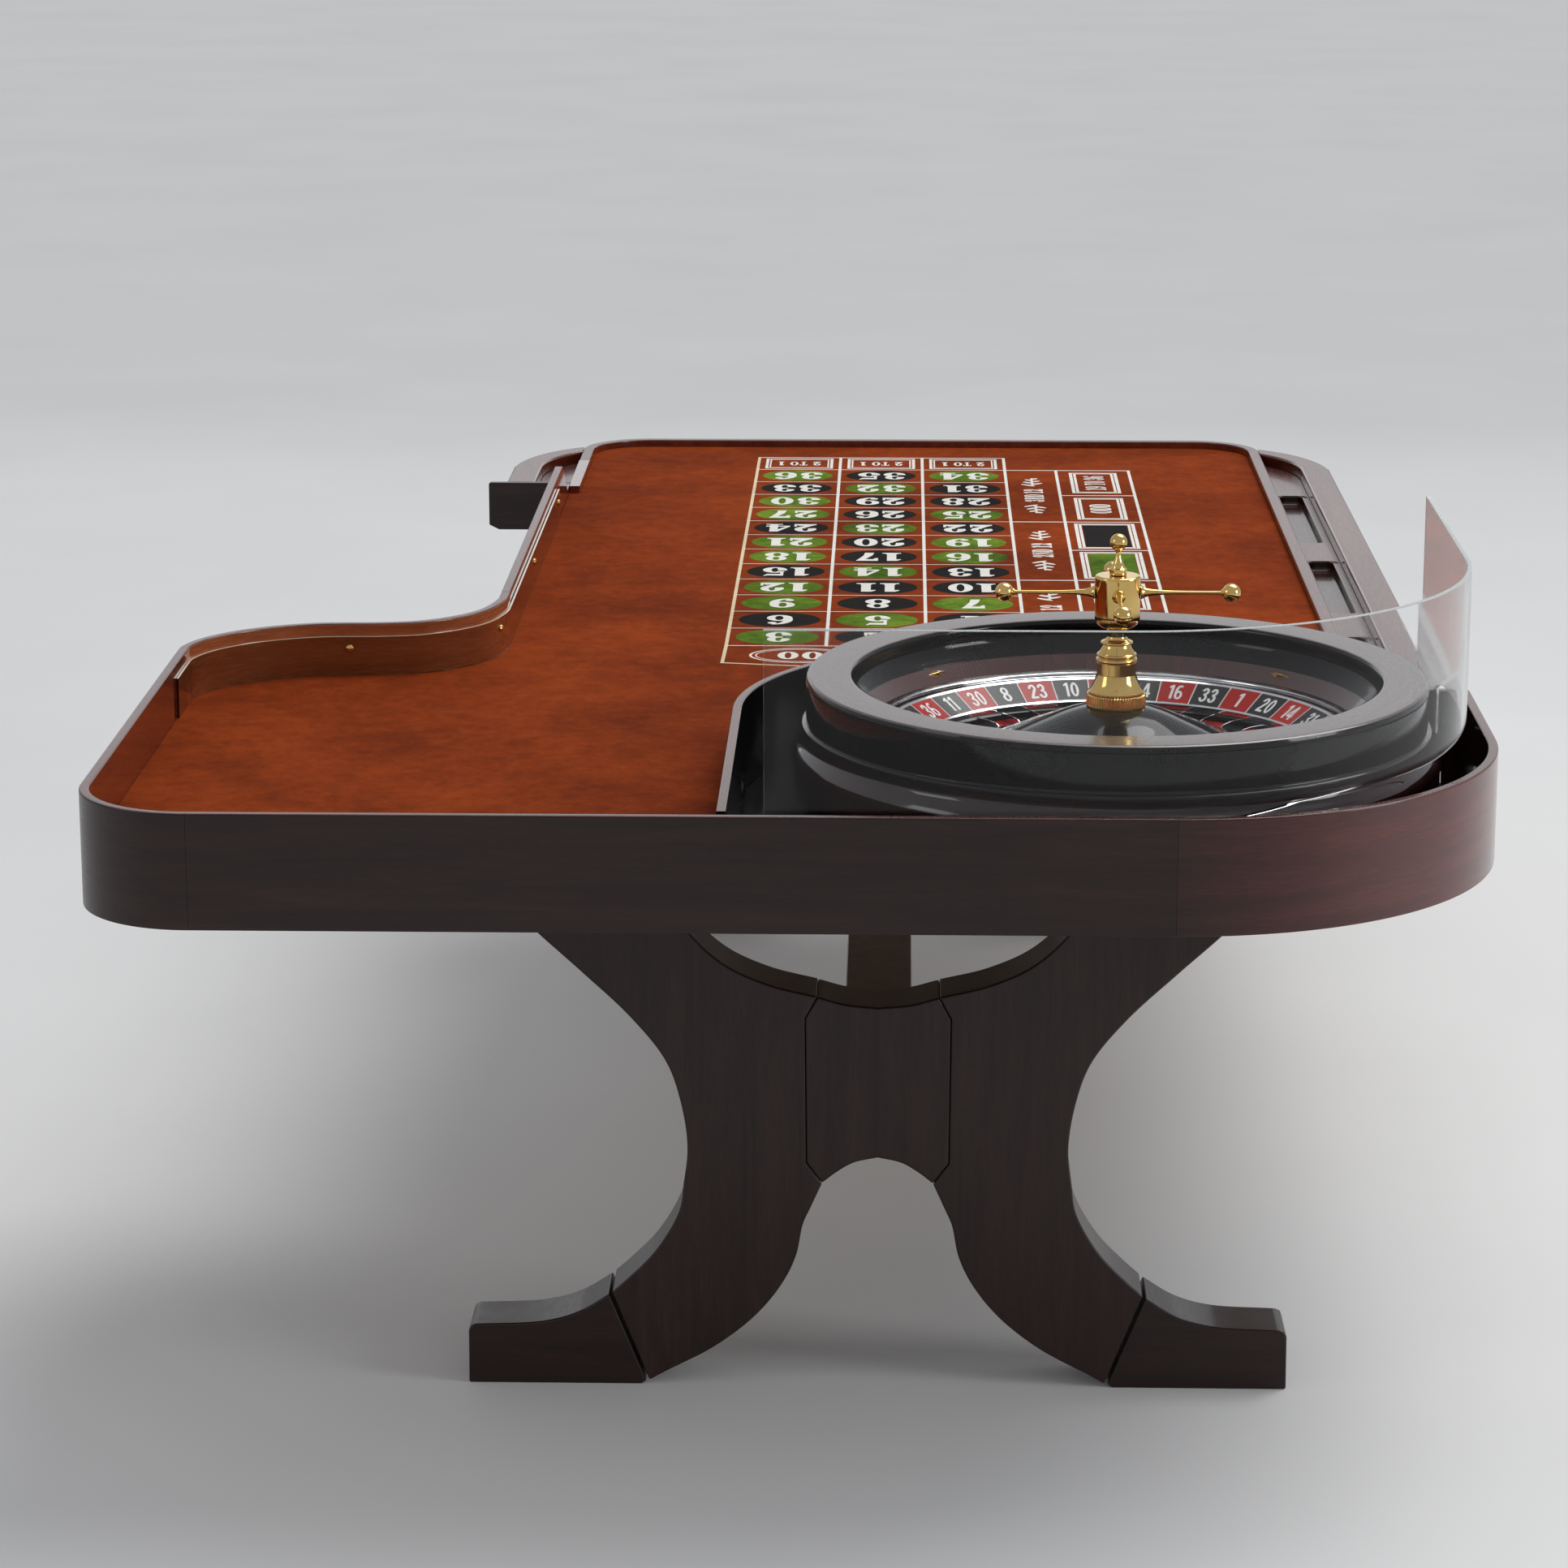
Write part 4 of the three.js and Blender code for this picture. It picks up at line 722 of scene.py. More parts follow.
LEFT_Y0 = 10.376 * U
lt = mirror([(RAIL_OUT_X + GAP, LEFT_Y0), (TRAY_OUT_X - TB_T - GAP, LEFT_Y0)] + trayCurve + [(RAIL_OUT_X + GAP, trayCurve[-1][1] - 0.5)])
trayslab("left_tray_lacquered", lt, [], "left_tray")
bo = mirror([(TRAY_OUT_X, LEFT_Y0)] + boardCurve + boardInner[::-1] + [(TRAY_OUT_X - TB_T, LEFT_Y0)])
plate("left_tray_board_lacquered", bo, APRON_BOTTOM, TRAY_TOP, ["apron_y"], nodes="left_tray_board", bev=1.5)
mx = lambda pts: [(2 * MIRROR_X - x, y) for x, y in pts]
band("left_armrest_lacquered", mx([(ARMREST_OUT_X, LEFT_Y0), (ARMREST_OUT_X, ARM_SEAM_Y - GAP)]), mx([(ARMREST_IN_X, LEFT_Y0), (ARMREST_IN_X, ARM_SEAM_Y - GAP)]),
     TRAY_TOP + GAP, LOW_TOP, 5.5, 2, ["rim", "red"], "left_armrest", lip)
band("left_armrest_end_lacquered", mx(endOuter), mx(endInner), TRAY_TOP + GAP, LOW_TOP, 5.5, 2, ["rim", "red"], "left_armrest_end", lip)
plate("left_end_panel_lacquered", fillet([
    (-3.7447 * U, -60.2), (-3.6087 * U, APRON_BOTTOM), (LRO - GAP, APRON_BOTTOM), (LRO - GAP, LOW_TOP), (-3.72 * U, LOW_TOP), (-3.7447 * U, LOW_TOP - 2.4)],
    [2, 3, 0, 0, 1, 1], 4), LEFT_Y0 - GAP - WALL_T, LEFT_Y0 - GAP, ["apron"], "XZ", "left_end_panel", "table", 1.4)

# ------------------------------------------------------------------ shield
SHIELD_T, SHIELD_TOP, SHIELD_R = 6, 290, 3.675 * U
SHIELD_CX, SHIELD_CY = 4.25 * U, -6.73 * U
sp = spaced([(0.76 * U, SHIELD_CY - SHIELD_R), (SHIELD_CX - 2, SHIELD_CY - SHIELD_R)], 60)[:-1] + \
    arc(SHIELD_CX, SHIELD_CY, SHIELD_R, 270, 360, 110) + spaced([(SHIELD_CX + SHIELD_R, SHIELD_CY + 2), (SHIELD_CX + SHIELD_R, -4.7175 * U)], 40) + spaced([(SHIELD_CX + SHIELD_R, -4.7125 * U), (SHIELD_CX + SHIELD_R, -3.15 * U)], 34)
hem = [(-10.6, 54), (-10.38, 54), (-10.25, 64), (-10.0, 76), (-9.6, 83), (-9.2, 84), (-8.8, 86), (-8.4, 89), (-8.0, 93),
       (-7.6, 98), (-7.0, 103), (-6.2, 103), (-5.5, 96), (-5.0, 82), (-4.8, 72.3), (-4.7175, 72.3), (-4.7125, 12.3), (-3.0, 12.3)]
def hem_z(x, y):
    if x < 3.6 * U: return 54.0
    v = y / U
    for (a, za), (b, zb) in zip(hem, hem[1:]):
        if a <= v <= b:
            return za + (zb - za) * (v - a) / (b - a)
    return 12.3 if v > -3.2 else 54.0
prof = fillet([(0, 54), (0, SHIELD_TOP), (SHIELD_T, SHIELD_TOP), (SHIELD_T, 54)], 1.2, 3)
ob = sweep("wheel_shield_panel", sp, prof, ["clear", "clear_edge"], nodes="wheel_shield",
      zfun=lambda x, y, d, z: z if z > 200 else z - 54 + hem_z(x, y))
endX, endY = min(v.co.x for v in ob.data.vertices), max(v.co.y for v in ob.data.vertices)
topZ = max(v.co.z for v in ob.data.vertices)
for f in ob.data.polygons:
    vs = [ob.data.vertices[i].co for i in f.vertices]
    if all(v.z > topZ - 0.0013 for v in vs) or all(abs(v.x - endX) < 0.0002 for v in vs) or all(abs(v.y - endY) < 0.0002 for v in vs):
        f.material_index = 1

# --------------------------------------------------------------- pedestals
OUT = [(480, 703.7), (476, 668), (458, 632), (430, 602), (373, 549), (310, 488), (267, 432), (249, 381), (240, 319), (245, 270), (251, 233), (281, 180), (318, 141), (337, 124)]
UNDER = [(290, 5), (269, 17), (207, 51), (155, 93), (121, 136), (103, 174), (94, 217), (84, 240)]
SEAM = [(70, 271.5), (90, 298.5), (91.5, 488.5), (76, 517)]
UCURVE = [(76, 517), (139, 533), (192, 558), (234, 596.7), (262, 640), (280, 680), (284, 703.7)]
BLOCK = [(0, 306), (30, 299), (52, 286), (69.6, 272), (89.6, 298.9), (91.1, 488.1), (75.6, 516.6), (0, 503)]
leg = smooth(OUT, 90) + smooth(UNDER, 70) + SEAM[:3] + smooth(UCURVE, 44)
foot = smooth([(340.6, 121), (380, 97), (424, 84), (512, 79)], 40) + [(518, 76.5), (520.4, 70), (521, 0), (300, 0), (294, 4.5)]
foot[0] = (340.6, 121)
top = smooth([(0, 306), (30, 299), (52, 286), (69.6, 272)], 20)
bot = smooth([(75.6, 516.6), (40, 507), (0, 503)], 16)
block = top + BLOCK[4:6] + bot
block = [(d, h) for d, h in block] + [(-d, h) for d, h in block[::-1]][1:-1]
PED_X, PED_T = 1.862 * U, 84
for tag, y0 in (("front", -900), ("rear", 1239)):
    def piece(nm, pts, s, m="leg"):
        out = [(PED_X + s * d, -DECK_HEIGHT + h) for d, h in pts]
        return plate(f"{tag}_{nm}_lacquered", out, y0, y0 + PED_T, [m], "XZ", f"{tag}_{nm}", "table", 2.6, 4)
    piece("center_block", block, 1)
    piece("leg_left", leg, -1); piece("leg_right", leg, 1)
    piece("foot_left", foot, -1, "apron"); piece("foot_right", foot, 1, "apron")

for nm, mt in (("playfield_board", "ply"), ("wheel_well_floor", "black"), ("front_bearer", "ply"), ("rear_bearer", "ply"), ("stretcher_beam", "apron_y"),
               ("wheel_spindle", "steel"), ("spindle_bearing", "steel")):
    o = frame["nodes"][nm]
    o.data.materials.clear(); o.data.materials.append(M[mt])
    if nm in ("stretcher_beam", "front_bearer", "rear_bearer"):
        o.modifiers.new("weld", "WELD").merge_threshold = 1e-6
        bevel(o, 2.5, 3)

# ------------------------------------------------------------------- wheel
SEG = 296
RIN = 2.16261                     # angle of the divider between 30 and 8
STEP = 2 * math.pi / 37
ORDER = [0, 32, 15, 19, 4, 21, 2, 25, 17, 34, 6, 27, 13, 36, 11, 30, 8, 23, 10, 5, 24, 16, 33, 1, 20, 14, 31, 9, 22, 18, 29, 7, 28, 12, 35, 3, 26]
REDS = {1, 3, 5, 7, 9, 12, 14, 16, 18, 19, 21, 23, 25, 27, 30, 32, 34, 36}
AT8 = ORDER.index(8)
SECTOR = []                       # (centre angle, number), clockwise from 8
for k in range(37):
    SECTOR.append((RIN - (k + 0.5) * STEP, ORDER[(AT8 + k) % 37]))
def number_at(angle):
    k = int(math.floor((RIN - angle) / STEP)) % 37
    return ORDER[(AT8 + k) % 37]
tone = lambda n: 2 if n == 0 else (0 if n in REDS else 1)

bowl = [(0, -47.7), (399, -47.7), (403.2, -20), (404.3, 6), (404.3, 27), (404.8, 30), (406, 34), (406, 39), (405, 43.5)] + \
    smooth([(405, 43.5), (401.5, 50), (397, 55), (393.6, 60), (392.3, 66), (392.3, 70)], 14)[1:] + \
    [(393.2, 71.2), (393.4, 74.5), (392.6, 77.8), (390.5, 79.4), (388, 80), (387.5, 81), (387.4, 83.7), (302, 58), (300, 8), (24, 8), (24, -20), (0, -20)]
lathe("wheel_bowl_turned", bowl, SEG, ["bowl", "black"], "wheel_bowl", "table",
      lambda j, i, a, b: 1 if (a[0] < 388 and b[0] < 388) or (a[1] > 70) else 0)

ring = [(387.9, 84.4), (387.6, 128.6), (385.6, 129.0), (385.6, 130.2), (387.5, 130.6), (387.3, 133.4), (386.2, 136.4), (384.2, 137.7), (381.5, 138)] + \
    [(334.5, 138), (331.6, 137.3), (329.8, 135.2), (329.3, 132.6), (329.3, 129.8)] + smooth([(329.3, 129.8), (331.0, 127.0), (334.4, 123.2), (335.6, 118.5), (334, 111.5), (329, 104.4), (322.5, 97.2)], 20)[1:] + \
    [(320.6, 95.0), (319.8, 94.4)] + [(304.6, 76.6), (304.4, 76.0), (304.4, 59.3)]
def ringmat(j, i, a, b):
    if a[1] > 136 and b[1] > 136: return 0
    if a[0] > 380 or b[0] > 380: return 1
    if a[1] > 95.5 or a[0] > 320.3: return 1
    return 2
lathe("ball_track_turned", ring, SEG, ["ring_top", "black", "slope"], "ball_track_ring", "table", ringmat)
lathe("track_edge_polished", fillet([(303.8, 72), (303, 76), (297.5, 73.5), (296.5, 70), (296.5, 60), (303.8, 60)], [1, 1.4, 1.2, 0, 0, 0], 4), SEG, "silver", "track_edge_ring", "table")

def lathe_on(name, prof, origin, direction, segs, mats, nodes=(), body="rotor"):
    """turned solid about any axis; prof runs (radius, distance along)"""
    q = Vector((0, 0, 1)).rotation_difference(Vector(direction).normalized())
    verts, faces, rings = [], [], []
    for r, s in prof:
        if r < 1e-6:
            rings.append([len(verts)]); verts.append(tuple(Vector(origin) + q @ Vector((0, 0, s))))
        else:
            st = len(verts)
            for i in range(segs):
                a = 2 * math.pi * i / segs
                verts.append(tuple(Vector(origin) + q @ Vector((r * math.cos(a), r * math.sin(a), s))))
            rings.append(list(range(st, st + segs)))
    for A, B in zip(rings, rings[1:]):
        for i in range(segs):
            i2 = (i + 1) % segs
            if len(A) == 1: faces.append((A[0], B[i2], B[i]))
            elif len(B) == 1: faces.append((A[i], A[i2], B[0]))
            else: faces.append((A[i], A[i2], B[i2], B[i]))
    return make(name, verts, faces, mats, None, nodes, body)

# deflectors: a long faceted diamond on a thin foot, lying on the slope
sA = math.atan2(105 - 76, 330 - 304)
for i in range(4):
    a = math.radians(45 + 90 * i)
    er, et, up = Vector((math.cos(a), math.sin(a), 0)), Vector((-math.sin(a), math.cos(a), 0)), Vector((0, 0, 1))
    s = er * math.cos(sA) + up * math.sin(sA); nrm = -er * math.sin(sA) + up * math.cos(sA)
    c = Vector((WX, WY, 0)) + er * 314 + up * (76 + 10 * math.tan(sA)) + nrm * 0.55
    def pt(t, u, w): return tuple(c + et * t + s * u + nrm * w)
    base = [(17.5, 0), (7, 3.0), (0, 5.0), (-7, 3.0), (-17.5, 0), (-7, -3.0), (0, -5.0), (7, -3.0)]
    verts = [pt(t, u, 0) for t, u in base] + [pt(t * 0.985, u * 0.94, 0.9) for t, u in base] + [pt(7.5, 0, 4.0), pt(0, 0, 5.0), pt(-7.5, 0, 4.0)]
    faces = [tuple(range(8))[::-1]] + [(k, (k + 1) % 8, 8 + (k + 1) % 8, 8 + k) for k in range(8)]
    faces += [(8, 9, 16), (9, 10, 17, 16), (10, 11, 18, 17), (11, 12, 18), (12, 13, 18), (13, 14, 17, 18), (14, 15, 16, 17), (15, 8, 16)]
    ob = make(f"ball_deflector_{i + 1}_polished", verts, faces, "brass", None, f"ball_deflector_{i + 1}", "table", 20)
    bevel(ob, 0.5, 3, 12)

disc = [(10.6, 13), (22.5, 13), (22.5, 10.5), (60, 12), (262, 16), (292.6, 44), (292.6, 68.6), (292.1, 69.3), (291.3, 69.4), (291.3, 60.8), (248, 36.7), (248, 28), (204.3, 28), (204.3, 24), (10.6, 24)]
lathe("rotor_disc_turned", disc, SEG, ["silver", "black"], "rotor_disc", "rotor", lambda j, i, a, b: 0 if a[0] > 291 and b[0] > 291 and b[1] > 60 else 1)

def spun(name, prof, mats, nodes, fmat, per=8):
    """turned ring whose facets line up with the 37 fields"""
    n = 37 * per
    verts, faces, fm, k = [], [], [], len(prof)
    for i in range(n):
        a = RIN - STEP * i / per
        for r, z in prof:
            verts.append((WX + r * math.cos(a), WY + r * math.sin(a), z))
    for i in range(n):
        i2 = (i + 1) % n
        for j in range(k):
            faces.append((i * k + j, i * k + (j + 1) % k, i2 * k + (j + 1) % k, i2 * k + j))
            fm.append(fmat(i // per, j))
    return make(name, verts, faces, mats, fm, nodes, "rotor")
T3 = ["ring_red", "ring_black", "ring_green", "ring_white", "silver"]
numprof = [(291, 61), (291, 68.9), (290.3, 68.75), (287.4, 66.95), (254.6, 46.76), (252.3, 45.35), (252, 45.0), (252, 39.4)]
def nmat(k, j):
    if j == 3: return tone(ORDER[(AT8 + k) % 37])
    return 4
spun("number_ring_fields", numprof, T3, "number_ring", nmat)
# pocket floors, coloured like the fields above them
floorprof = [(204.5, 28.4), (204.5, 29.8), (247.4, 29.8), (247.4, 28.4)]
frets = spun("pocket_floor", floorprof, T3, "pocket_fret_ring", lambda k, j: tone(ORDER[(AT8 + k) % 37]) if j in (0, 1) else 4)
verts, faces = [], []
def solid(outline, place, t):
    s, n = len(verts), len(outline)
    for w in (-t / 2, t / 2):
        verts.extend(place(p, w) for p in outline)
    faces.append(tuple(s + i for i in range(n))[::-1]); faces.append(tuple(s + n + i for i in range(n)))
    faces.extend((s + i, s + (i + 1) % n, s + n + (i + 1) % n, s + n + i) for i in range(n))
for k in range(37):
    a = RIN - STEP * k
    c, s_ = math.cos(a), math.sin(a)
    ol = fillet([(205.6, 29.4), (246.8, 29.4), (246.8, 40.0), (224, 40.0), (211, 38.4), (205.6, 35.4)], [0, 0, 0.8, 5, 4, 2], 5)
    solid(ol, lambda p, w: (WX + p[0] * c - w * s_, WY + p[0] * s_ + w * c, p[1]), 1.2)
ob = make("pocket_frets", verts, faces, "silver", body="rotor"); bevel(ob, 0.25, 2)
# white dividers between the number fields
verts, faces = [], []
for k in range(37):
    a = RIN - STEP * k
    c, s_ = math.cos(a), math.sin(a)
    ol = [(254.4, 46.0), (287.6, 66.4), (287.5, 67.25), (254.4, 46.9)]
    solid(ol, lambda p, w: (WX + p[0] * c - w * s_, WY + p[0] * s_ + w * c, p[1]), 1.3)
make("number_ring_dividers", verts, faces, "ring_white", body="rotor")

cone = [(11, 24.4), (203.6, 24.4), (204, 25.0), (204, 34.6), (203.2, 36.1), (201.4, 36.9)] + smooth([(201.4, 36.9), (175, 45.2), (150, 54.4), (120, 67.0), (90, 78.9), (66, 88.6), (46, 95.0), (38, 96.9)], 40)[1:] + [(36.5, 97), (11, 97)]
lathe("rotor_cone_turned", cone, SEG, "black", "rotor_cone", "rotor")

# turret: knurled base ring, column, barrel, arms and finial
def knurled(name, r0, z0, z1, teeth, depth, nodes):
    prof = [(r0 - 3, z0), (r0 - 1.2, z0 + 0.2), (r0 - 0.2, z0 + 1.6), (r0, z0 + 2.6), (r0, z1 - 2.6), (r0 - 0.2, z1 - 1.6), (r0 - 1.2, z1 - 0.2), (r0 - 3, z1), (11, z1), (11, z0)]
    mod = [0, 0.3, 1, 1, 1, 1, 0.3, 0, 0, 0]
    n, k, verts, faces = teeth * 6, len(prof), [], []
    for i in range(n):
        a = 2 * math.pi * i / n
        dr = -depth * (0.5 - 0.5 * math.cos(2 * math.pi * i / 6))
        for (r, z), w in zip(prof, mod):
            verts.append((WX + (r + dr * w) * math.cos(a), WY + (r + dr * w) * math.sin(a), z))
    for i in range(n):
        i2 = (i + 1) % n
        faces += [(i * k + j, i * k + (j + 1) % k, i2 * k + (j + 1) % k, i2 * k + j) for j in range(k)]
    return make(name, verts, faces, "brass", None, nodes, "rotor", 50)
knurled("turret_base_knurled", 37.5, 97.4, 114.7, 64, 1.5, "turret_base")
def bead(r, z, h, w):
    """half-round ring on a stem of radius w, centred at height z"""
    return [(w, z - h / 2)] + [(w + (r - w) * math.cos(t), z + h / 2 * math.sin(t)) for t in [math.radians(x) for x in (-70, -45, -20, 0, 20, 45, 70)]] + [(w, z + h / 2)]
col = [(11, 115), (34.4, 115), (35, 115.6), (35, 117.4), (34.4, 118.2)] + smooth([(34.0, 118.4), (31.4, 122.4), (28.6, 128), (26.2, 134), (24.9, 138.5)], 12) + \
    [(24.6, 139.6), (24.6, 153.8)] + bead(26, 157, 5, 24) + bead(25, 163.4, 4.4, 22.6) + smooth([(22.4, 166.4), (19.6, 170.4), (17.6, 174.6)], 6) + \
    bead(20.3, 178.8, 4, 17.2) + smooth([(16.6, 181.4), (13.8, 183.4), (12.4, 186)], 6) + [(12.2, 187), (12.2, 194.6), (11.6, 195.2), (0, 195.2), (0, 188), (11, 180)]
lathe("turret_column_polished", col, 128, "brass", "turret_column", "rotor")
lathe("turret_barrel_polished", [(0, 195.6)] + smooth([(6, 195.6), (14, 196.6), (21, 199), (25.8, 203.4), (28.1, 209), (28.4, 214)], 14) + [(28.4, 257.5)] +
      fillet([(28.4, 257.5), (28.4, 264), (0, 264)], 3.5, 5, closed=False)[1:], 128, "brass", "turret_barrel", "rotor")
arm = [(0, 28.8), (8.2, 28.8), (8.4, 30.2)] + smooth([(7.6, 31.2), (5.9, 34.5), (4.6, 40), (3.5, 50), (2.7, 62), (2.3, 78), (2.2, 100), (2.3, 126)], 30) + \
    [(2.6, 128.4), (4.4, 129.0), (4.8, 130.2), (4.4, 131.2), (3.4, 131.6)] + [(11.6 * math.sin(t), 141 - 11.6 * math.cos(t)) for t in [math.radians(x) for x in range(22, 160, 8)]] + [(3.6, 152.2), (1.8, 152.5), (0, 152.6)]
for i in range(4):
    a = math.pi / 2 * i
    lathe_on(f"turret_arm_{i + 1}_polished", arm, (WX, WY, 242), (math.cos(a), math.sin(a), 0), 48, "brass", f"turret_arm_{i + 1}")
fin = [(0, 264.4)] + fillet([(0, 264.4), (10.8, 264.4), (10.8, 272), (8.6, 273.4)], 1.4, 4, closed=False)[1:] + smooth([(8.2, 275.2), (6.4, 279), (4.4, 284.4), (3.2, 289), (3.0, 292.6)], 12) + \
    [(3.2, 294.0), (4.6, 294.6)] + [(10.8 * math.sin(t), 305.4 - 10.8 * math.cos(t)) for t in [math.radians(x) for x in range(26, 171, 8)]] + [(0, 316.2)]
lathe("turret_finial_polished", fin, 64, "brass", "turret_finial", "rotor")

# ------------------------------------------------------------ glyph shapes
# Each glyph is a list of (paint, outline); later outlines win. Cap height 100.
def ell(cx, cy, rx, ry, n=40):
    return [(cx + rx * math.cos(2 * math.pi * i / n), cy + ry * math.sin(2 * math.pi * i / n)) for i in range(n)]
def rect(x0, x1, y0, y1):
    return [(x0, y0), (x1, y0), (x1, y1), (x0, y1)]
def bandarc(cx, cy, rx, ry, a0, a1, w, h, n=24):
    """part of a thick ring: w is the side thickness, h the top thickness"""
    A = [math.radians(a0 + (a1 - a0) * i / n) for i in range(n + 1)]
    return [(cx + rx * math.cos(a), cy + ry * math.sin(a)) for a in A] + [(cx + (rx - w) * math.cos(a), cy + (ry - h) * math.sin(a)) for a in A[::-1]]
def slab_glyphs():
    g = {}
    g["0"] = (66, [(1, ell(32, 50, 31, 51)), (0, ell(32, 50, 10, 41))])
    g["1"] = (54, [(1, rect(15, 39, 6, 100)), (1, rect(3, 51, 0, 9)), (1, [(3, 86), (3, 80), (16, 80), (16, 100), (12, 98)]), (1, [(9, 9), (15, 20), (15, 9)]), (1, [(39, 9), (39, 20), (45, 9)])])
    g["2"] = (66, [(1, bandarc(32, 68, 29, 33, 205, -48, 21, 9)), (1, [(52, 45), (30, 60), (40, 44), (17, 20), (3, 8), (3, 0), (16, 0)]), (1, [(56, 52), (34, 52), (14, 22), (3, 10), (3, 0), (22, 14)]),
                   (1, [(3, 0), (62, 0), (62, 6), (48, 23), (30, 22), (14, 17), (3, 12)]), (1, rect(55, 62, 0, 34)), (1, ell(14, 71, 12, 11, 24))])
    g["3"] = (66, [(1, bandarc(30, 74, 27, 27, 190, -90, 20, 8)), (1, bandarc(30, 30, 31, 31, 90, -190, 22, 8)), (1, ell(13, 75, 11, 10, 24)), (1, ell(12, 24, 12, 11, 24)), (1, rect(20, 36, 47, 57))])
    g["4"] = (68, [(1, rect(34, 56, 6, 100)), (1, rect(22, 66, 0, 9)), (1, [(34, 100), (50, 100), (13, 34), (2, 34)]), (1, rect(2, 66, 23, 35))])
    g["5"] = (66, [(1, [(9, 100), (11, 80), (50, 80), (60, 104), (54, 104), (50, 98)]), (1, rect(9, 17, 46, 98)), (1, bandarc(31, 32, 31, 33, 150, -190, 22, 9)), (1, ell(13, 24, 12, 11, 24))])
    g["6"] = (66, [(1, bandarc(44, 48, 43, 53, 78, 196, 22, 9)), (1, ell(33, 31, 31, 32)), (0, ell(34, 31, 10, 23)), (1, bandarc(44, 48, 43, 53, 150, 196, 20, 9)), (1, ell(50, 84, 11, 10, 24))])
    g["7"] = (62, [(1, [(3, 100), (3, 66), (10, 66), (16, 80), (40, 80), (59, 92), (59, 100)]), (1, [(59, 98), (38, 86), (18, 34), (13, 0), (37, 0), (40, 34), (48, 62)])])
    g["8"] = (66, [(1, ell(32, 74, 27, 27)), (1, ell(32, 28, 31, 29)), (0, ell(33, 75, 9, 19)), (0, ell(31, 27, 10, 20))])
    g["9"] = (66, [(p, [(64 - x, 100 - y) for x, y in pts]) for p, pts in g["6"][1]])
    g["T"] = (66, [(1, rect(23, 43, 0, 100)), (1, rect(2, 64, 90, 100)), (1, rect(2, 9, 70, 100)), (1, rect(57, 64, 70, 100)), (1, rect(13, 53, 0, 8))])
    g["O"] = (72, [(1, ell(36, 50, 34, 51)), (0, ell(36, 50, 13, 42))])
    g["D"] = (72, [(1, rect(2, 40, 0, 100)), (1, ell(36, 50, 33, 50)), (0, ell(34, 50, 14, 41)), (1, rect(10, 30, 0, 100)), (1, rect(2, 34, 0, 8)), (1, rect(2, 34, 92, 100))])
    g["E"] = (64, [(1, rect(9, 29, 0, 100)), (1, rect(2, 60, 0, 9)), (1, rect(2, 60, 91, 100)), (1, rect(52, 60, 0, 30)), (1, rect(52, 60, 70, 100)), (1, rect(20, 46, 46, 54)), (1, rect(39, 46, 36, 64))])
    g["V"] = (70, [(1, [(8, 98), (29, 98), (42, 30), (34, 0), (30, 0)]), (1, [(56, 98), (63, 98), (40, 0), (32, 0), (36, 20)]), (1, rect(1, 38, 92, 100)), (1, rect(46, 70, 92, 100))])
    g["N"] = (74, [(1, rect(8, 17, 0, 100)), (1, rect(58, 66, 0, 100)), (1, [(8, 100), (30, 100), (66, 8), (66, 0), (56, 0), (10, 90)]), (1, rect(1, 30, 92, 100)), (1, rect(1, 24, 0, 8)), (1, rect(50, 73, 92, 100))])
    g["S"] = (62, [(1, bandarc(31, 73, 27, 28, 30, 262, 19, 9)), (1, bandarc(31, 28, 28, 29, 82, -150, 19, 9)), (1, [(16, 62), (24, 78), (50, 40), (42, 24)]), (1, rect(51, 57, 66, 100)), (1, rect(4, 10, 0, 34))])
    g["R"] = (74, [(1, rect(9, 29, 0, 100)), (1, rect(2, 36, 0, 8)), (1, rect(2, 36, 92, 100)), (1, ell(40, 74, 25, 26)), (0, ell(36, 74, 10, 18)), (1, rect(20, 30, 46, 100)), (1, [(34, 52), (50, 52), (66, 8), (72, 8), (72, 0), (52, 0)])])
    g["H"] = (78, [(1, rect(9, 29, 0, 100)), (1, rect(48, 68, 0, 100)), (1, rect(20, 58, 45, 55)), (1, rect(2, 36, 0, 8)), (1, rect(2, 36, 92, 100)), (1, rect(41, 75, 0, 8)), (1, rect(41, 75, 92, 100))])
    g[" "] = (30, [])
    return g
SLAB = slab_glyphs()
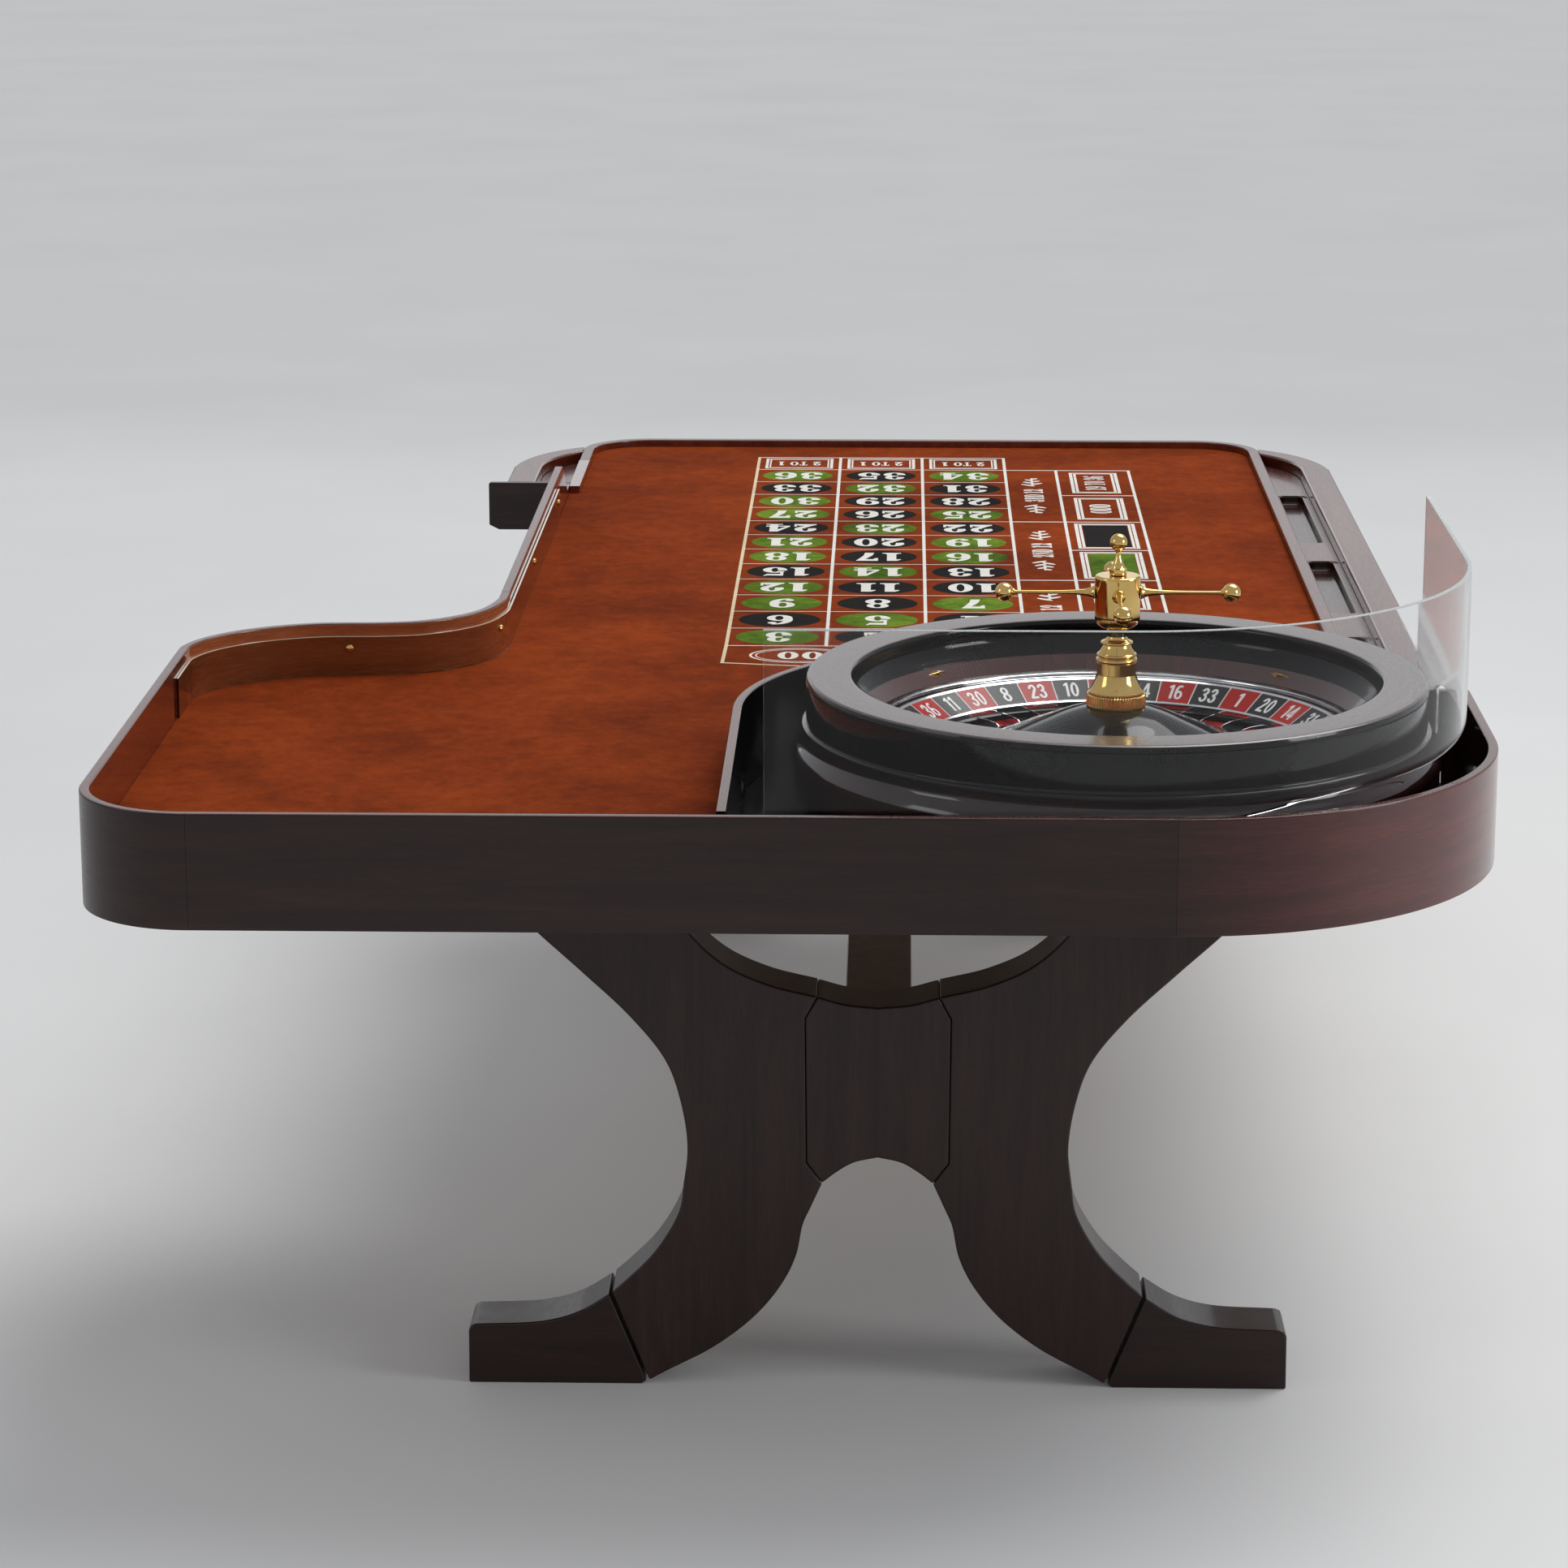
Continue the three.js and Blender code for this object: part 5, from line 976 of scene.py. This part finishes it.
def sans_glyphs():
    g, w = {}, 15
    def b(cx, cy, rx, ry, a0, a1): return bandarc(cx, cy, rx, ry, a0, a1, w, w * 0.9, 20)
    g["0"] = (54, [(1, ell(26, 50, 24, 51)), (0, ell(26, 50, 9.5, 37))])
    g["1"] = (36, [(1, rect(14, 29, 0, 100)), (1, [(1, 76), (1, 88), (16, 100), (20, 100), (20, 84)])])
    g["2"] = (54, [(1, b(26, 74, 23, 27, 185, -40)), (1, [(44, 57), (30, 66), (3, 14), (3, 0), (18, 8)]), (1, rect(3, 49, 0, 14))])
    g["3"] = (54, [(1, b(25, 75, 22, 26, 180, -90)), (1, b(25, 28, 24, 29, 90, -180)), (1, rect(18, 27, 47, 60))])
    g["4"] = (54, [(1, rect(30, 44, 0, 100)), (1, [(28, 100), (44, 100), (14, 32), (1, 32)]), (1, rect(1, 52, 20, 33))])
    g["5"] = (54, [(1, rect(6, 46, 86, 100)), (1, rect(6, 20, 46, 100)), (1, b(25, 32, 24, 33, 140, -180))])
    g["6"] = (54, [(1, b(30, 60, 28, 41, 60, 180)), (1, rect(2, 17, 30, 62)), (1, ell(26, 30, 24, 31)), (0, ell(26, 30, 9.5, 18)), (1, rect(2, 16, 30, 62))])
    g["7"] = (50, [(1, rect(2, 47, 86, 100)), (1, [(47, 94), (32, 88), (12, 0), (28, 0)])])
    g["8"] = (54, [(1, ell(26, 74, 22, 27)), (1, ell(26, 28, 24, 29)), (0, ell(26, 75, 8.5, 14.5)), (0, ell(26, 28, 9.5, 16.5))])
    g["9"] = (54, [(p, [(52 - x, 100 - y) for x, y in pts]) for p, pts in g["6"][1]])
    return g
SANS = sans_glyphs()
def text_polys(text, font, cx, cy, h, read, up, hs=1.0, track=0):
    """outlines of a line of text centred on a point of the plane"""
    total = sum(font[c][0] + track for c in text) - track
    out, u0 = [], -total / 2
    for c in text:
        adv, polys = font[c]
        grp = []
        for paint, pts in polys:
            grp.append((paint, [(cx + (read[0] * (u0 + u) * hs + up[0] * (v - 50)) * h / 100,
                                 cy + (read[1] * (u0 + u) * hs + up[1] * (v - 50)) * h / 100) for u, v in pts]))
        if grp: out.append(grp)
        u0 += adv + track
    return out

def cdt_paint(groups, outline=None):
    """groups = [(material, [(paint, outline), ...]), ...]; returns verts, triangles, material of each"""
    vs, fs, own = [], [], []
    def addp(pts, tag):
        if sum(a[0] * b[1] - b[0] * a[1] for a, b in zip(pts, list(pts[1:]) + [pts[0]])) < 0:
            pts = list(pts)[::-1]
        s = len(vs); vs.extend(Vector(p) for p in pts)
        fs.append(list(range(s, s + len(pts)))); own.append(tag)
    if outline is not None:
        addp(outline, (-1, 1))
    for gi, (m, polys) in enumerate(groups):
        for paint, pts in polys:
            addp(pts, (gi, paint))
    v, e, f, ov, oe, of_ = delaunay_2d_cdt(vs, [], fs, 1, 1e-4)
    tris, mats = [], []
    for t, src in zip(f, of_):
        src = sorted(src)
        if outline is not None and 0 not in src:
            continue
        state, cur, inside = 0, None, False
        hit = False
        for k in src:
            gi, paint = own[k]
            if gi < 0: continue
            if gi != cur:
                if cur is not None and inside: state = groups[cur][0]; hit = True
                cur, inside = gi, False
            inside = paint > 0
        if cur is not None and inside: state = groups[cur][0]; hit = True
        if outline is None and not hit:
            continue
        tris.append(tuple(t)); mats.append(state)
    return [tuple(p) for p in v], tris, mats

# ------------------------------------------------------------ number plate
verts, faces = [], []
slope = Vector((287.4 - 254.6, 66.95 - 46.76)).normalized()
rm, zm = 271.2, 56.98
for ang, num in SECTOR:
    er, ex = Vector((math.cos(ang), math.sin(ang), 0)), Vector((math.sin(ang), -math.cos(ang), 0))
    s = er * slope.x + Vector((0, 0, 1)) * slope.y
    nrm = -er * slope.y + Vector((0, 0, 1)) * slope.x
    c = Vector((WX, WY, zm)) + er * rm
    groups = [(1, g) for g in text_polys(str(num), SANS, 0, 0, 25.5, (1, 0), (0, 1), 0.86 if num > 9 else 0.95, 3)]
    v, tris, _ = cdt_paint(groups)
    base, used = len(verts), sorted({i for t in tris for i in t})
    remap = {i: j for j, i in enumerate(used)}
    n = len(used)
    for lift in (0.02, 0.28):
        verts.extend(tuple(c + ex * v[i][0] + s * v[i][1] + nrm * lift) for i in used)
    edges = {}
    for t in tris:
        q = [remap[i] for i in t]
        faces.append(tuple(base + i for i in q)[::-1]); faces.append(tuple(base + n + i for i in q))
        for a, b in zip(q, q[1:] + q[:1]):
            edges[(a, b)] = edges.get((a, b), 0) + 1
    for (a, b) in edges:
        if (b, a) not in edges:
            faces.append((base + a, base + b, base + n + b, base + n + a))
make("number_ring_numerals", verts, faces, "ring_white", body="rotor", smooth_angle=0)

# ----------------------------------------------------------------- layout
G = []
W_, K_, GR, BL = 1, 4, 2, 3          # white, cream, green, black
def bar(x0, x1, y0, y1, m=1): G.append((m, [(1, rect(x0 * U, x1 * U, y0 * U, y1 * U))]))
def line(x0, y0, x1, y1, w, m=1):
    a, b = Vector((x0 * U, y0 * U)), Vector((x1 * U, y1 * U))
    d = (b - a).normalized() * w * U / 2; q = Vector((-d.y, d.x))
    a, b = a - d, b + d
    G.append((m, [(1, [tuple(a - q), tuple(b - q), tuple(b + q), tuple(a + q)])]))
def frame_rect(x0, x1, y0, y1, w, m=1):
    G.append((m, [(1, rect(x0 * U, x1 * U, y0 * U, y1 * U)), (0, rect((x0 + w) * U, (x1 - w) * U, (y0 + w) * U, (y1 - w) * U))]))
def ring_oval(cx, cy, rx, ry, w, m=1):
    G.append((m, [(1, ell(cx * U, cy * U, rx * U, ry * U, 72)), (0, ell(cx * U, cy * U, (rx - w) * U, (ry - w) * U, 72))]))
def leaf(cx, cy, la, lb, a, m=1):
    ca, sa = math.cos(a), math.sin(a)
    pts = [(la * math.cos(t), lb * math.sin(t)) for t in (2 * math.pi * i / 28 for i in range(28))]
    G.append((m, [(1, [((cx + p * ca - q * sa) * U, (cy + p * sa + q * ca) * U) for p, q in pts])]))
def words(t, x, y, h, read=(-1, 0), up=(0, -1), hs=1.0, track=6, m=1):
    for g in text_polys(t, SLAB, x * U, y * U, h * U, read, up, hs, track):
        G.append((m, g))
CX = [0, 1.190, 2.380, 3.570]
TH, TN = 0.042, 0.022
for i, x in enumerate(CX):
    line(x, 0, x, 13, TH, 4 if i == 0 else 1)
line(0, 0, -0.012, -0.95, TH, 4); line(3.57, 0, 3.57, -0.95, TH)
for (xa, ya), (xb, yb) in zip([(0, -0.95), (1.785, -1.25)], [(1.785, -1.25), (3.57, -0.95)]):
    line(xa, ya, xb, yb, TH, 4 if xa == 0 else 1)
line(1.785, 0, 1.785, -1.22, TN)
for r in range(0, 13):
    line(0, r, 3.57, r, 0.03 if r in (0, 12) else TN)
line(0, 13, 3.57, 13, TH, 1)
for c in range(3):
    for r in range(12):
        n = 3 * r + 3 - c
        cx, cy = (CX[c] + CX[c + 1]) / 2, r + 0.5
        G.append((GR if n in REDS else BL, [(1, ell(cx * U, cy * U, 0.50 * U, 0.425 * U, 72))]))
        words(str(n), cx, cy, 0.54, hs=0.94, track=5)
    x0, x1 = CX[c], CX[c + 1]
    frame_rect(x0 + 0.105, x1 - 0.105, 12.09, 12.91, 0.042)
    frame_rect(x0 + 0.165, x1 - 0.165, 12.17, 12.83, 0.022)
    words("2 TO 1", (x0 + x1) / 2, 12.5, 0.30, hs=0.60, track=6)
for t, cx in (("00", 0.89), ("0", 2.68)):
    ring_oval(cx, -0.53, 0.60, 0.40, 0.03); ring_oval(cx, -0.53, 0.53, 0.335, 0.018)
    words(t, cx, -0.53, 0.40, hs=1.0, track=6)
# dozens and even-money boxes
X3, X4, X5 = 3.570, 4.304, 5.350
line(X4, 0, X4, 12, TH); line(X5, 0, X5, 12, TH)
for r in (0, 4, 8, 12): line(X3, r, X4, r, TH)
for r in range(0, 13, 2): line(X4, r, X5, r, TH)
for i, t in enumerate(("1ST 12", "2ND 12", "3RD 12")):
    y = 4 * i + 2
    xm = (X3 + X4) / 2
    words(t, xm, y, 0.27, (0, 1), (-1, 0), 0.93, 5)
    for sg in (-1, 1):                  # a small leafy vine at each end
        line(xm, y + sg * 0.76, xm, y + sg * 1.34, 0.024)
        for k in range(6):
            d, la = 0.80 + 0.10 * k, 0.125 - 0.012 * k
            side = 1 if k % 2 else -1
            leaf(xm + side * la * 0.5, y + sg * d, la, 0.036, side * sg * 0.7)
xm = (X4 + X5) / 2
for i, t in enumerate(("1 TO 18", "EVEN", None, None, "ODD", "19 TO 36")):
    y = 2 * i + 1
    ex, ey = (0.18, 0.19) if t else (0.115, 0.12)
    frame_rect(X4 + ex, X5 - ex, 2 * i + ey, 2 * i + 2 - ey, 0.046)
    frame_rect(X4 + ex + 0.060, X5 - ex - 0.060, 2 * i + ey + 0.064, 2 * i + 2 - ey - 0.064, 0.036)
    if t:
        words(t, xm, y, 0.29, (0, 1), (-1, 0), 1.05 if len(t) < 6 else 0.78, 6)
    else:
        m = GR if i == 2 else BL
        G.append((m, [(1, rect((X4 + 0.222) * U, (X5 - 0.222) * U, (2 * i + 0.235) * U, (2 * i + 1.765) * U))]))

innerLeft = offset(leftRun, -(APRON_T + GAP)); innerS = offset(sRun, -(APRON_T + GAP))
innerFarR, innerFarL = offset(farRight, RAIL_T + GAP), offset(farLeft, RAIL_T + GAP)
xr = RAIL_IN_X - GAP
wc = [p for p in wellClear if p[0] < xr]
ynear = NEAR_Y + APRON_T + GAP
i0 = len(wc)
a, b = wellClear[i0 - 1], wellClear[i0]
yc = a[1] + (b[1] - a[1]) * (xr - a[0]) / (b[0] - a[0])
outline = [(xr, yc)] + innerFarR + innerFarL + [(2 * MIRROR_X - RAIL_IN_X + GAP, stepY - GAP), (RECESS_X + WALL_T + GAP, stepY - GAP)] + \
    innerS[::-1] + innerLeft[::-1] + [(wellClear[0][0], ynear)] + wc[1:]
tidy = []
for p in outline:
    if not tidy or math.dist(p, tidy[-1]) > 0.05: tidy.append(p)
outline = tidy
v2, tris, tm = cdt_paint(G, outline)
verts = [(x, y, 0.0) for x, y in v2]
faces, fm = [t for t in tris], list(tm)
n0 = len(verts)
# underside and edge of the cloth, following the same outline
edges = {}
for t in tris:
    for a, b in zip(t, t[1:] + t[:1]): edges[(a, b)] = 1
rim = {a: b for (a, b) in edges if (b, a) not in edges}
loop, cur = [], next(iter(rim))
while cur not in loop[:1]:
    loop.append(cur); cur = rim[cur]
    if len(loop) > len(rim): break
verts += [(v2[i][0], v2[i][1], -1.5) for i in loop]
L = len(loop)
faces.append(tuple(n0 + i for i in range(L))[::-1]); fm.append(0)
for i in range(L):
    j = (i + 1) % L
    faces.append((loop[j], loop[i], n0 + i, n0 + j)); fm.append(0)
felt = make("felt_layout_cloth", verts, faces, ["cloth", "print_white", "print_green", "print_black", "print_cream"], fm, "felt_layout", "table", 0)

# flat faces keep flat shading next to their rounded edges
for o in bpy.context.scene.objects:
    if o.type == "MESH" and o.name not in frame["nodes"] and o.name != "felt_layout_cloth" and "numerals" not in o.name \
            and not any(m.type == "WEIGHTED_NORMAL" for m in o.modifiers):
        wn = o.modifiers.new("normals", "WEIGHTED_NORMAL")
        wn.keep_sharp = True; wn.weight = 50

# ------------------------------------------------------- floor, light, view
def stage_mat():
    m, nt, b = new_mat("studio_floor")
    n1 = noise(nt, coords(nt), 1.2, 3, 0.5)
    nt.links.new(mixc(nt, maprange(nt, n1, 0.3, 0.7, 0, 1), (0.70, 0.70, 0.695), (0.735, 0.735, 0.73)), b.inputs["Base Color"])
    b.inputs["Roughness"].default_value = 0.7
    b.inputs["Specular IOR Level"].default_value = 0.2
    return m
me = bpy.data.meshes.new("floor")
R = 40.0
me.from_pydata([(-R, -R, 0), (R, -R, 0), (R, R, 0), (-R, R, 0)], [], [(0, 1, 2, 3)])
floor = bpy.data.objects.new("studio_floor", me)
bpy.context.scene.collection.objects.link(floor)
me.materials.append(stage_mat())

bpy.context.scene.view_settings.view_transform = "Standard"
w = bpy.data.worlds.new("studio"); bpy.context.scene.world = w
w.use_nodes = True
bg = w.node_tree.nodes["Background"]
bg.inputs[0].default_value = (0.93, 0.95, 1.0, 1); bg.inputs[1].default_value = 0.46
def area_light(name, loc, target, size, power, col=(1, 1, 1), sy=None):
    d = bpy.data.lights.new(name, "AREA")
    d.shape = "RECTANGLE"; d.size = size; d.size_y = sy or size; d.energy = power; d.color = col
    o = bpy.data.objects.new(name, d)
    bpy.context.scene.collection.objects.link(o)
    o.location = loc
    o.rotation_mode = "QUATERNION"
    o.rotation_quaternion = (Vector(target) - Vector(loc)).to_track_quat("-Z", "Y")
    return o
area_light("key_top", (1.3, 0.9, 4.2), (0.1, 0.0, 0.7), 2.4, 52, (1, 0.985, 0.96), 3.0)
area_light("fill_right", (4.4, -2.4, 2.0), (0.5, -0.6, 0.8), 1.6, 58)
area_light("fill_left", (-4.0, -2.6, 2.6), (-0.2, -0.2, 0.7), 1.6, 14)
area_light("back_soft", (0.3, 5.9, 2.15), (0.1, 0.6, 0.8), 7.0, 17, (1, 1, 1), 1.5)
sun_d = bpy.data.lights.new("soft_sun", "SUN")
sun_d.energy = 1.15; sun_d.angle = math.radians(38)
sun = bpy.data.objects.new("soft_sun", sun_d)
bpy.context.scene.collection.objects.link(sun)
sun.rotation_mode = "QUATERNION"
sun.rotation_quaternion = Vector((-0.45, -0.42, -1.0)).to_track_quat("-Z", "Y")

cam_d = bpy.data.cameras.new("camera")
cam = bpy.data.objects.new("camera", cam_d)
bpy.context.scene.collection.objects.link(cam)
cam_d.sensor_width = 36.0; cam_d.sensor_fit = "HORIZONTAL"
cam_d.lens = 5595.1 / 1932 * 36.0
cam_d.clip_start, cam_d.clip_end = 0.05, 200
yaw, pitch, roll = 0.0258384, 0.2444111, -0.00066
fwd = Vector((-math.sin(yaw) * math.cos(pitch), math.cos(yaw) * math.cos(pitch), -math.sin(pitch)))
right = Vector((math.cos(yaw), math.sin(yaw), 0))
up = right.cross(fwd)
rot = Matrix((right, up, -fwd)).transposed()
cam.matrix_world = Matrix.Translation(Vector(P(246.3048, -6338.412, 1377.8196))) @ (rot @ Matrix.Rotation(roll, 3, "Z")).to_4x4()
bpy.context.scene.camera = cam
